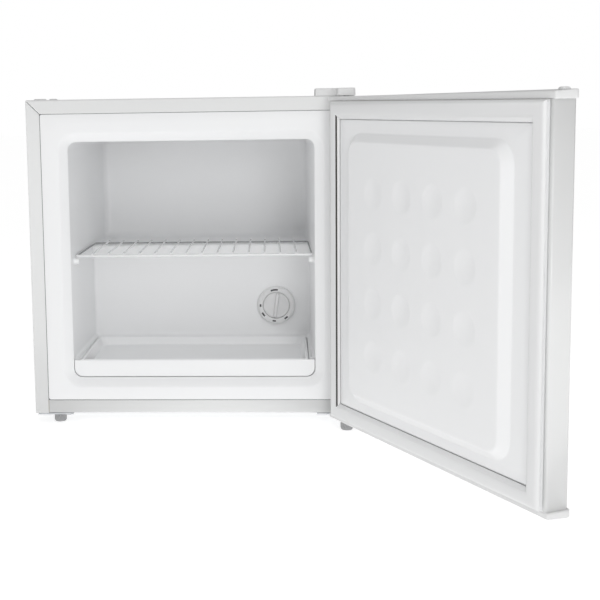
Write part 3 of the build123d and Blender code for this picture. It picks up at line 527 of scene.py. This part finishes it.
def wall_half(y):
    """Half width between the side walls at depth y."""
    if y <= LOWER_BACK_Y:
        return OPEN_HALF - (OPEN_HALF - LOWER_BACK_HALF) * (y - MOUTH_Y) / (LOWER_BACK_Y - MOUTH_Y)
    share = (y - LOWER_BACK_Y) / (UPPER_BACK_Y - LOWER_BACK_Y)
    return LOWER_BACK_HALF - (LOWER_BACK_HALF - UPPER_BACK_HALF) * share


def quarter(steps=5):
    """Sine and versine of a quarter turn, in even steps."""
    turns = [math.radians(90 * step / steps) for step in range(steps + 1)]
    return [(math.sin(turn), 1 - math.cos(turn)) for turn in turns]


def liner_section(z, front_in, seat_in, side, back, back_half, radius):
    """Half of a level section of the liner's inside, mouth to back centre, as (x, y, z) points.

    front_in pulls the mouth's side in, seat_in the panel seat's; side is the half width behind the seat.
    """
    kink_y = min(WALL_KINK_Y, back - radius)
    seat_half = wall_half(SEAT_Y - 1) - seat_in
    straight = side == back_half
    kink_half = side if straight else side - wall_half(SEAT_Y) + wall_half(kink_y)
    corners = [(wall_half(MOUTH_Y) - front_in, CHAMBER_Y), (seat_half, SEAT_Y - SEAT_STEP)]
    corners += [(side, SEAT_Y + SEAT_STEP), (kink_half, kink_y)]
    corners += fillet_corner((kink_half, kink_y - 1), (back_half, back), (0.0, back), radius)
    fall = CEILING_FALL * max(0.0, (z - FALL_FROM_Z) / (OPEN_HIGH - FALL_FROM_Z))
    points = []
    for x, y in corners:
        points.append((x, y, z - fall * (y - MOUTH_Y) / (UPPER_BACK_Y - MOUTH_Y)))
    return points


def liner_levels():
    """Half sections of the liner's inside from the floor up."""
    levels = []
    round_up = quarter()
    for rise, run in round_up:                       # floor fillet of the tray well
        inset = OPEN_R * (1 - rise)
        z = OPEN_LOW + OPEN_R * run
        half = WELL_HALF - inset
        levels.append(liner_section(z, inset, inset, half, WELL_BACK - inset, half, CORNER_R))
    edge = 3.0
    for rise, run in round_up:                       # rounded rim of the well
        z = SHOULDER_Z - edge + edge * rise
        grow = edge * run
        half = WELL_HALF + grow
        levels.append(liner_section(z, 0, 0, half, WELL_BACK + grow, half, CORNER_R))
    foot = 6.0
    behind = wall_half(SEAT_Y)
    for rise, run in round_up:                       # shoulder into the side and back walls
        inset = foot * (1 - rise)
        z = SHOULDER_Z + foot * run
        levels.append(liner_section(z, 0, 0, behind - inset, LOWER_BACK_Y - inset,
                                    LOWER_BACK_HALF - inset, LOWER_CORNER_R))
    lip = 6.0
    for rise, run in round_up:                       # front edge of the ledge
        z = LEDGE_Z - lip + lip * rise
        levels.append(liner_section(z, 0, 0, behind, LOWER_BACK_Y + lip * run, LOWER_BACK_HALF,
                                    LOWER_CORNER_R))
    cove = 11.0
    for rise, run in round_up:                       # ledge into the upper back wall
        inset = cove * (1 - rise)
        z = LEDGE_Z + cove * run
        half = UPPER_BACK_HALF - 0.5 * inset
        levels.append(liner_section(z, 0, 0, behind, UPPER_BACK_Y - inset, half, CORNER_R))
    upper_z = 340.0
    levels.append(liner_section(upper_z, 0, 0, behind, UPPER_BACK_Y, UPPER_BACK_HALF, CORNER_R))
    for rise, run in round_up:                       # ceiling
        inset = OPEN_R * run
        z = OPEN_HIGH - OPEN_R * (1 - rise)
        levels.append(liner_section(z, inset, inset, behind - inset, UPPER_BACK_Y - inset,
                                    UPPER_BACK_HALF - inset, CORNER_R))
    return levels


def mouth_edge(point, half, low, high, radius, y):
    """Moves a point of the opening's edge onto another rounded rectangle round the opening."""
    middle, span = (OPEN_LOW + OPEN_HIGH) / 2, (OPEN_HIGH - OPEN_LOW) / 2
    run_x, run_z = OPEN_HALF - OPEN_R, span - OPEN_R
    clamped_x = max(-run_x, min(run_x, point.x))
    clamped_z = max(-run_z, min(run_z, point.z - middle))
    out = Vector((point.x - clamped_x, point.z - middle - clamped_z))
    out = out.normalized() if out.length > 1e-6 else Vector((0.0, 1.0))
    new_middle, new_span = (low + high) / 2, (high - low) / 2
    x = clamped_x / run_x * (half - radius) + out.x * radius
    z = new_middle + clamped_z / run_z * (new_span - radius) + out.y * radius
    return (x, y, z)


def liner():
    """Vacuum-formed liner: stepped inside, flared mouth and flat flange."""
    low, high = cad("inner_liner")
    bm = bmesh.new()
    rings = []
    for half in liner_levels():
        mirrored = [(-x, y, z) for x, y, z in reversed(half)]
        rings.append(half + mirrored)
    loft(bm, rings, closed=False, cap_start=True, cap_end=True)
    bmesh.ops.remove_doubles(bm, verts=bm.verts, dist=0.003)
    rim = [edge for edge in bm.edges if len(edge.link_faces) == 1]
    face_y = low.y + 0.1
    mouth_r, flare, flare_r, flat = 3.4, 12.4, 6.0, 14.0
    profile = rounded_path([(0.0, CHAMBER_Y, 0), (0.0, MOUTH_Y, mouth_r), (flare, face_y, flare_r),
                            (flare + flat, face_y, 0)], 5)
    places = [(OPEN_HALF + off, OPEN_LOW - off, OPEN_HIGH + off, OPEN_R + off, y) for off, y in profile[1:]]
    edge_r = 3.0
    for trim, y in ((0.5, face_y), (0.15, face_y + 0.15), (0.0, face_y + 0.5), (0.0, high.y)):
        places.append((high.x - trim, low.z + trim, high.z - trim, edge_r, min(y, LINER_T + face_y)))
    current = {vertex: vertex for edge in rim for vertex in edge.verts}
    start = {vertex: vertex.co.copy() for vertex in current}
    for half, z0, z1, radius, y in places:
        moved = {}
        for vertex in current:
            moved[vertex] = bm.verts.new(mouth_edge(start[vertex], half, z0, z1, radius, y))
        for edge in rim:
            first, second = edge.verts
            bm.faces.new([current[first], current[second], moved[second], moved[first]])
        current = moved
    bmesh.ops.recalc_face_normals(bm, faces=bm.faces)
    back_wall = [face for face in bm.faces
                 if face.calc_center_median().y > UPPER_BACK_Y - 1 and abs(face.normal.y) > 0.9]
    if back_wall[0].normal.y > 0:
        bmesh.ops.reverse_faces(bm, faces=bm.faces)
    piece("liner", bm, "cabinet", MATERIALS["liner_plastic"], ["inner_liner"], sheet=LINER_T,
          crease=40)


# ---------------------------------------------------------------- storage tray

def tray():
    """Shallow drawer: front panel and a tub with a beaded edge and rounded back corners."""
    low, high = cad("storage_tray")
    panel_t, panel_r, panel_top_r = 3.0, 12.0, 1.2
    top = high.z
    front = low.y + panel_t
    bm = bmesh.new()
    outline = rounded_loop([(low.x, low.z, panel_r), (high.x, low.z, panel_r),
                            (high.x, top, panel_top_r), (low.x, top, panel_top_r)])
    slab(bm, outline, low.y, front, 0.9, axis="Y")
    piece("tray_front", bm, "tray", MATERIALS["liner_plastic"], ["storage_tray"])

    edge_half, edge_back = WELL_HALF - 1.5, high.y - 0.1
    bead, cove, floor = 1.5, 11.0, low.z + 2.2
    skirt, corner_r = 6.0, 11.0
    rings = []

    def ring(inset, z, radius=corner_r):
        half, back = edge_half - inset, edge_back - inset
        points = rounded_loop([(-half, front, 0.2), (half, front, 0.2),
                               (half, back, radius), (-half, back, radius)])
        rings.append([(x, y, z) for x, y in points])

    ring(0.0, top - skirt)
    for rise, run in quarter(4):
        ring(bead * run, top - bead + bead * rise)
    for rise, run in quarter(4):
        ring(bead + 0.6 + bead * rise, top - bead * run)
    for rise, run in reversed(quarter(5)):
        ring(2 * bead + 1.6 + cove * run, floor + cove * (1 - rise), corner_r + 1.0 + 4.0 * run)
    bm = bmesh.new()
    loft(bm, rings, cap_end=True)
    bmesh.ops.recalc_face_normals(bm, faces=bm.faces)
    bottom = min(bm.faces, key=lambda face: face.calc_center_median().z)
    if bottom.normal.z < 0:
        bmesh.ops.reverse_faces(bm, faces=bm.faces)
    piece("tray_tub", bm, "tray", MATERIALS["liner_plastic"], sheet=0.9, crease=45)


# ---------------------------------------------------------------- wire shelf

def wire_shelf():
    """Wire shelf: coated front bar and wires, and a thin frame at the sides and the rear, coloured dark grey as
    painted shade for the shadow gaps along the ledge's front edge and the side walls.
    """
    low, high = cad("wire_shelf")
    bar, frame_r, wire = 2.0, 1.15, 1.3
    z = low.z + bar
    front, rear = low.y + 3.0, 201.0
    front_half = high.x - bar
    rear_half = front_half - 3.1
    bm = bmesh.new()
    route = [(-front_half, front + 3.0, z), (-rear_half, rear, z), (rear_half, rear, z),
             (front_half, front + 3.0, z)]
    tube(bm, bent_path(route, 5.0), frame_r)
    # the frame is dark grey: painted shade in place of the shadow gaps along the ledge's front edge and the side
    # walls
    piece("shelf_frame_painted_shade", bm, "shelf", MATERIALS["shelf_frame_painted_shade"], crease=60)
    bm = bmesh.new()
    route = [(-front_half, front + 5.0, z), (-front_half, front, z), (front_half, front, z),
             (front_half, front + 5.0, z)]
    tube(bm, bent_path(route, 3.0), bar)
    wire_z = z + bar + wire - 0.3
    wires = 14
    for index in range(wires):
        share = (index + 1) / (wires + 1) * 2 - 1
        x0, x1 = share * front_half, share * rear_half
        route = [(x0, front - 0.6, z + 0.4), (x0, front + 1.0, wire_z), (x1, rear - 3, wire_z),
                 (x1, high.y - wire - 0.4, wire_z)]
        tube(bm, bent_path(route, 1.6, 3), wire, 10)
    piece("shelf_wires", bm, "shelf", MATERIALS["shelf_wire"], ["wire_shelf"], crease=60)


def shelf_pegs():
    """Moulded pegs in the side walls that the shelf's front bar rests on."""
    low, high = cad("shelf_pegs")
    y, z = (low.y + high.y) / 2, (low.z + high.z) / 2
    radius, reach = (high.z - low.z) / 2, 8.4
    profile = [(radius + 1.0, 0.0), (radius + 0.2, 0.6), (radius - 0.2, 1.6), (radius - 0.5, reach - 2.0)]
    profile += [(radius - 0.9, reach - 0.9), (radius - 1.9, reach - 0.2), (radius - 3.0, reach)]
    bm = bmesh.new()
    for side in (-1, 1):
        wall = side * (wall_half(y) + 0.4)
        lathe(bm, [(r, -side * h) for r, h in profile], (wall, y, z), "X", 32)
    piece("shelf_supports", bm, "cabinet", MATERIALS["liner_plastic"], ["shelf_pegs"])


# ---------------------------------------------------------------- thermostat dial

def dial():
    """Thermostat dial: ring with printed marks, dished knob and grip bar."""
    low, high = cad("dial_bezel")
    centre = Vector(((low.x + high.x) / 2, high.y, (low.z + high.z) / 2))
    radius, height = (high.x - low.x) / 2, high.y - low.y
    well, well_y = 21.5, 2.0
    shoulder, rim = 4.5, height * 0.45
    profile = [(radius, 0.0), (radius, rim)]
    for angle in (20, 40, 60, 80, 90):
        turned = math.radians(angle)
        profile.append((radius - shoulder + shoulder * math.cos(turned),
                        rim + height * 0.55 * math.sin(turned)))
    profile += [(well + 1.2, height), (well + 0.3, height - 0.4), (well, height - 1.2), (well, well_y),
                (4.0, well_y)]
    bm = bmesh.new()
    lathe(bm, [(r, -h) for r, h in profile], centre, "Y", 96)
    piece("dial_ring", bm, "cabinet", MATERIALS["white_plastic"], ["dial_bezel"])

    bm = bmesh.new()
    disc = [(well - 0.4, -2.3), (well - 0.4, -4.4), (well - 1.2, -5.2), (12.0, -5.3), (5.0, -5.4)]
    lathe(bm, disc, centre, "Y", 96)
    tilt = Matrix.Rotation(math.radians(8.0), 4, "Y")
    length, foot_w, top_w = well - 1.6, 3.4, 1.6
    grip = cad("thermostat_knob")[0].y - centre.y
    rings = []
    for half, y, half_len in ((foot_w, -5.0, length), (foot_w - 0.7, -5.8, length - 0.2),
                              (top_w + 0.5, grip + 1.0, length - 1.4), (top_w, grip + 0.3, length - 1.9),
                              (top_w - 0.7, grip, length - 2.8)):
        outline = rectangle(-half, half, -half_len, half_len, min(half * 0.9, 2.0), 4)
        rings.append([centre + tilt @ Vector((u, y, v)) for u, v in outline])
    loft(bm, rings, cap_start=True, cap_end=True)
    piece("dial_knob", bm, "knob", MATERIALS["white_plastic"], ["thermostat_knob"])

    bm = bmesh.new()
    mark_r = (well + radius) / 2 - 0.6
    inner, outer = mark_r - 1.3, mark_r + 1.3
    face_y = centre.y - height - 0.04
    for angle, sweep in ((97, 26), (180, 10), (215, 16), (262, 12), (308, 14)):
        start, end = angle - sweep / 2, angle + sweep / 2
        outline = arc(0, 0, outer, start, end, 8) + arc(0, 0, inner, end, start, 8)
        rings = [[(centre.x + u, y, centre.z + v) for u, v in outline] for y in (face_y, face_y + 0.3)]
        loft(bm, rings, cap_start=True, cap_end=True)
    piece("dial_marks", bm, "cabinet", PRINT)


# ---------------------------------------------------------------- hinges, plugs and feet

def hinge_cover():
    """Moulded cover over the upper hinge, with a tongue that reaches over the door."""
    low, high = cad("hinge_cover")
    body_y, tongue_x = 0.6, high.x - 24.8
    edge, draft = 1.8, 0.25
    bm = bmesh.new()
    rings = []
    levels = [(0.0, low.z), (0.0, low.z + 0.5), (draft, high.z - edge)]
    levels += [(draft + edge * run, high.z - edge + edge * rise) for rise, run in quarter(4)[1:]]
    for inset, z in levels:
        corners = [(low.x + inset, body_y + inset, 1.5), (tongue_x + inset, body_y + inset, 2.0),
                   (tongue_x + inset, low.y + inset, 3.0), (high.x - inset, low.y + inset, 3.0),
                   (high.x - inset, high.y - inset, 3.0), (low.x + inset, high.y - inset, 3.0)]
        rings.append([(x, y, z) for x, y in rounded_loop(corners)])
    loft(bm, rings, cap_start=True, cap_end=True)
    piece("hinge_cap", bm, "cabinet", MATERIALS["white_plastic"], ["hinge_cover"])


def hole_plugs():
    """Domed plugs in the spare hinge holes."""
    low, high = cad("hinge_hole_plugs")
    top = high.z
    bm = bmesh.new()
    sheet_top = cad("cabinet_wrap")[1].z
    stem, head = 5.0, 6.0
    profile = [(stem, sheet_top - 2.0), (head, sheet_top), (head, sheet_top + 0.5), (head - 0.6, top - 0.4),
               (head - 2.4, top)]
    for x, y in ((low.x + head + 10.0, low.y + head), (low.x + head, low.y + head + 18.0),
                 (high.x - head, high.y - head)):
        lathe(bm, profile, (x, y, 0), "Z", 32)
    piece("top_plugs", bm, "cabinet", MATERIALS["white_plastic"], ["hinge_hole_plugs"])


def levelling_foot(name, node, body):
    """Levelling foot with a ribbed rim and a chamfered sole."""
    low, high = cad(node)
    x, y = (low.x + high.x) / 2, (low.y + high.y) / 2
    ribs, rib_depth, ribs_low, ribs_high = 16, 1.3, 2.0, 10.4
    radius = (high.x - low.x) / 2 - 0.1

    def ribbed(reach, height, angle):
        if ribs_low < height < ribs_high and reach > radius - 1:
            return reach - rib_depth * (0.5 - 0.5 * math.cos(ribs * angle)) ** 0.6
        return reach

    profile = [(5.0, 0.0), (radius - 1.6, 0.0), (radius - 1.0, 0.5), (radius - 1.0, 1.6), (radius, 2.2)]
    profile += [(radius, 4.0), (radius, 8.0), (radius, 10.0), (radius - 1.1, 10.9), (4.2, 11.0)]
    bm = bmesh.new()
    lathe(bm, profile, (x, y, 0), "Z", ribs * 6, ribbed)
    stud_r = 3.9
    if high.z > 12.0:
        lathe(bm, [(stud_r - 0.3, 10.5), (stud_r, 11.0), (stud_r, high.z)], (x, y, 0), "Z", 32)
    piece(name, bm, body, MATERIALS["foot_plastic"], [node])


# ---------------------------------------------------------------- door

SKIN_R = 5.0
FOLD_R = 3.0
CAP_H = 6.0


def door_skin():
    """Painted skin: flat front, rounded upright edges and a return behind the inner panel's edge."""
    low, high = cad_closed("door_skin")
    returned = 6.0
    back, half = high.y, high.x
    outline = [(half - returned, back)] + arc(half - FOLD_R, back - FOLD_R, FOLD_R, 90, 0, 5)
    outline += arc(half - SKIN_R, low.y + SKIN_R, SKIN_R, 0, -90, 8)
    outline += [(-u, v) for u, v in reversed(outline)]
    bm = bmesh.new()
    rings = [[(x, y, z) for x, y in outline] for z in (low.z, (low.z + high.z) / 2, high.z)]
    loft(bm, rings, closed=False)
    bmesh.ops.recalc_face_normals(bm, faces=bm.faces)
    front = min(bm.faces, key=lambda face: face.calc_center_median().y)
    if front.normal.y > 0:
        bmesh.ops.reverse_faces(bm, faces=bm.faces)
    piece("door_shell", bm, "door", MATERIALS["white_paint"], ["door_skin"], opened=True,
          sheet=SHEET)


def door_cap(name, node, upper):
    """Moulded end cap, proud of the skin and swelling towards the free end, the front edge the most."""
    low, high = cad_closed(node)
    skin_low, skin_high = cad_closed("door_skin")
    level = skin_high.z + CAP_H if upper else skin_low.z - CAP_H
    inner_swell, outer_swell = (2.6, 4.5) if upper else (-1.4, -3.3)
    front_r, back_r = SKIN_R + 2.8, 2.4

    def swell(x, y):
        share = (high.x - x) / (high.x - low.x)
        lean = (high.y - y) / (high.y - low.y)
        return share * (inner_swell + (outer_swell - inner_swell) * lean)

    outline = rounded_loop([(low.x, high.y, back_r), (low.x, low.y, front_r), (high.x, low.y, front_r),
                            (high.x, high.y, back_r)], 8)
    bm = bmesh.new()
    bottom, top = (skin_high.z, level) if upper else (level, skin_low.z)
    slab(bm, outline, bottom, top, 1.5, 4)
    for vertex in bm.verts:
        if (vertex.co.z > (bottom + top) / 2) == upper:
            vertex.co.z += swell(vertex.co.x, vertex.co.y)
    if upper:
        stop_x, stop_y = low.x + 10.0, low.y + 15.0
        stop = rectangle(stop_x - 5.0, stop_x + 5.0, stop_y - 6.0, stop_y + 6.0, 3.5)
        stop_z = level + swell(stop_x, stop_y)
        slab(bm, stop, stop_z - 1.0, stop_z + 3.0, 2.6, 4)
    piece(name, bm, "door", MATERIALS["white_plastic"], [node], opened=True)


PLATEAU_BASE = (-177.0, 177.0, 59.0, 425.5, 30.0)
PLATEAU_CROWN = (-163.5, 163.5, 70.0, 414.5, 17.0)
PAD = (-206.4, 200.0, 45.3, 443.6, 2.5)
PAD_Y = -6.2


def shrunk(limits, inset):
    """Rounded rectangle (u0, u1, v0, v1, radius) drawn in by an inset."""
    u0, u1, v0, v1, radius = limits
    return (u0 + inset, u1 - inset, v0 + inset, v1 - inset, max(0.3, radius - inset))


def on_rectangle(unit, limits):
    """Point of a rounded rectangle (u0, u1, v0, v1, radius) in the direction of a unit square's rim point."""
    u0, u1, v0, v1, radius = limits
    half_u, half_v = (u1 - u0) / 2, (v1 - v0) / 2
    u, v = unit[0] * half_u, unit[1] * half_v
    inner_u, inner_v = half_u - radius, half_v - radius
    if abs(u) > inner_u and abs(v) > inner_v:
        centre = Vector((math.copysign(inner_u, u), math.copysign(inner_v, v)))
        out = Vector((u, v)) - centre
        u, v = centre + out.normalized() * radius
    return (u0 + u1) / 2 + u, (v0 + v1) / 2 + v


def door_panel():
    """Vacuum-formed inner panel: gasket channel, raised middle with soft slopes and shallow dimples."""
    low, high = cad_closed("door_inner_panel")
    flat_y, crown_y = cad_closed("door_skin")[1].y, high.y
    left, right, bottom, top = -134.0, 134.0, 99.0, 381.0
    columns, rows = 134, 141
    dimple_r, dimple_depth = 21.0, 1.3
    pitch_x, pitch_z, middle_z = 67.0, 72.0, 240.0
    dimples = [((column - 1.5) * pitch_x, middle_z + (row - 1.5) * pitch_z)
               for column in range(4) for row in range(4)]

    def height(x, z):
        for centre_x, centre_z in dimples:
            reach = math.hypot(x - centre_x, z - centre_z) / dimple_r
            if reach < 1.0:
                return crown_y - dimple_depth * (1 - reach ** 2)
        return crown_y

    bm = bmesh.new()
    grid = []
    for row in range(rows + 1):
        z = bottom + (top - bottom) * row / rows
        line = []
        for column in range(columns + 1):
            x = left + (right - left) * column / columns
            line.append(bm.verts.new((x, height(x, z), z)))
        grid.append(line)
    for below, above in zip(grid, grid[1:]):
        bridge(bm, below, above, closed=False)
    rim = grid[0] + [line[-1] for line in grid[1:]]
    rim += grid[-1][-2::-1] + [line[0] for line in grid[-2:0:-1]]
    units = []
    for vertex in rim:
        u = (vertex.co.x - left) / (right - left) * 2 - 1
        v = (vertex.co.z - bottom) / (top - bottom) * 2 - 1
        units.append((u, v))
    width = PLATEAU_CROWN[0] - PLATEAU_BASE[0]
    level = 8.0
    slope = rounded_path([(-level, crown_y, 0), (0.0, crown_y, 6.0), (width, PAD_Y, 5.0),
                          (width + level, PAD_Y, 0)], 6)
    places = []
    for along, y in slope:
        share = along / width
        limits = [crown + (base - crown) * share for crown, base in zip(PLATEAU_CROWN, PLATEAU_BASE)]
        places.append((limits, y))
    pad_r = 1.2
    for rise, run in quarter(4):
        places.append((shrunk(PAD, pad_r * (1 - rise)), PAD_Y - pad_r * run))
    places.append((PAD, flat_y + 0.1))
    places.append((shrunk(PAD, -0.3), flat_y - 0.05))
    places.append(((low.x, high.x, low.z, high.z, 0.5), flat_y - 0.05))
    current = rim
    for limits, y in places:
        ring = []
        for unit in units:
            x, z = on_rectangle(unit, limits)
            ring.append(bm.verts.new((x, y, z)))
        bridge(bm, current, ring)
        current = ring
    bmesh.ops.recalc_face_normals(bm, faces=bm.faces)
    if grid[0][0].link_faces[0].normal.y < 0:
        bmesh.ops.reverse_faces(bm, faces=bm.faces)
    piece("door_liner", bm, "door", MATERIALS["liner_plastic"], ["door_inner_panel"],
          opened=True, sheet=1.6, crease=50)


def gasket():
    """Soft gasket: foot, rounded magnet bulb and a thin lip over the inner panel, mitred at the corners."""
    low, high = cad_closed("door_gasket")
    left, right, bottom, top = -207.0, 200.6, 44.7, 444.2
    foot_y, top_y = low.y, high.y
    # (share of the way from the outer to the inner edge, y)
    section = [(0.17, foot_y), (0.95, foot_y), (0.95, -6.6), (0.99, -6.0), (1.0, -5.4), (0.98, -4.8)]
    section += [(0.90, -3.3), (0.82, -1.9), (0.76, -1.1), (0.68, top_y - 0.3), (0.60, top_y - 0.1)]
    section += [(0.34, top_y - 0.1), (0.24, top_y - 0.3), (0.14, -1.0), (0.06, -2.2), (0.01, -3.6)]
    section += [(0.0, -4.6), (0.01, -5.4), (0.05, -6.1), (0.12, -6.6), (0.17, -7.4)]
    corners = [((low.x, low.z), (left, bottom)), ((high.x, low.z), (right, bottom)),
               ((high.x, high.z), (right, top)), ((low.x, high.z), (left, top))]
    rings = []
    for (outer_x, outer_z), (inner_x, inner_z) in corners:
        ring = []
        for share, y in section:
            ring.append((outer_x + (inner_x - outer_x) * share, y, outer_z + (inner_z - outer_z) * share))
        rings.append(ring)
    bm = bmesh.new()
    loft(bm, rings + [rings[0]])
    piece("door_seal", bm, "door", MATERIALS["gasket_rubber"], ["door_gasket"], opened=True)


# ---------------------------------------------------------------- stage, light and camera

# Places and sizes are in metres here, angles in degrees.
AMBIENT = 0.31
OVERHEAD = 0.6
LAMPS = (("front_high", (0.2, -2.4, 2.4), 1.6, 12.5), ("front_low", (0.8, -3.0, 0.7), 1.0, 13.0))
FLOOR_GLOW = 0.7
CAMERA_PLACE = (0.13535, -1.71666, 0.47351)
CAMERA_YAW, CAMERA_PITCH, CAMERA_ROLL = 3.438, 7.263, -0.884
CAMERA_LENS = 71.99
CAMERA_SHIFT = (0.1438, -0.0798)


def add_lamp(name, light, place, target):
    """Puts a light in the scene, turned towards a target."""
    lamp = bpy.data.objects.new(name, light)
    lamp.location = place
    lamp.rotation_euler = (Vector(target) - Vector(place)).to_track_quat("-Z", "Y").to_euler()
    bpy.context.scene.collection.objects.link(lamp)


def studio():
    """Pale floor, even white surroundings and soft lights."""
    scene = bpy.context.scene
    scene.view_settings.view_transform = "Standard"
    world = bpy.data.worlds.new("studio")
    scene.world = world
    world.use_nodes = True
    nodes, links = world.node_tree.nodes, world.node_tree.links
    background = nodes["Background"]
    background.inputs["Color"].default_value = (1.0, 1.0, 1.0, 1.0)
    seen = nodes.new("ShaderNodeLightPath")
    strength = nodes.new("ShaderNodeMapRange")
    strength.inputs["To Min"].default_value = AMBIENT
    strength.inputs["To Max"].default_value = 1.0
    links.new(seen.outputs["Is Camera Ray"], strength.inputs["Value"])
    links.new(strength.outputs["Result"], background.inputs["Strength"])
    bpy.ops.mesh.primitive_grid_add(x_subdivisions=8, y_subdivisions=8, size=30.0,
                                    location=(0.0, 0.0, -0.0005))
    floor = bpy.context.object
    floor.name = "floor"
    paper = finish("pale floor", (0.57, 0.57, 0.57), (0.58, 0.58, 0.58), (0.85, 0.9), [(300.0, 2.0, 0.01)],
                   specular=0.1)
    glow = paper.node_tree.nodes["Principled BSDF"]
    glow.inputs["Emission Color"].default_value = (1.0, 1.0, 1.0, 1.0)
    glow.inputs["Emission Strength"].default_value = FLOOR_GLOW
    floor.data.materials.append(paper)
    sky = bpy.data.lights.new("overhead", "SUN")
    sky.angle = math.radians(100.0)
    sky.energy = OVERHEAD
    add_lamp("overhead", sky, (0.0, 0.0, 4.0), (0.0, 0.15, 0.0))
    for name, place, size, power in LAMPS:
        lamp = bpy.data.lights.new(name, "AREA")
        lamp.shape = "DISK"
        lamp.size = size
        lamp.energy = power
        add_lamp(name, lamp, place, (0.0, 0.1, 0.25))


def camera():
    """The photo's view."""
    data = bpy.data.cameras.new("view")
    data.lens = CAMERA_LENS
    data.sensor_width = 36.0
    data.shift_x, data.shift_y = CAMERA_SHIFT
    data.clip_start = 0.05
    data.clip_end = 100.0
    eye = bpy.data.objects.new("view", data)
    turn = Matrix.Rotation(math.radians(CAMERA_YAW), 4, "Z")
    turn = turn @ Matrix.Rotation(math.radians(90.0 - CAMERA_PITCH), 4, "X")
    turn = turn @ Matrix.Rotation(math.radians(CAMERA_ROLL), 4, "Z")
    eye.matrix_world = Matrix.Translation(CAMERA_PLACE) @ turn
    bpy.context.scene.collection.objects.link(eye)
    bpy.context.scene.camera = eye


camera()
studio()
dress_cad_nodes()
cabinet_shell()
bottom_rail()
joint_seal()
liner()
tray()
wire_shelf()
shelf_pegs()
dial()
hinge_cover()
hole_plugs()
levelling_foot("foot_left", "front_foot_left", "foot_left")
levelling_foot("foot_right", "front_foot_right", "foot_right")
door_skin()
door_cap("door_cap_top", "door_top_cap", True)
door_cap("door_cap_bottom", "door_bottom_cap", False)
door_panel()
gasket()
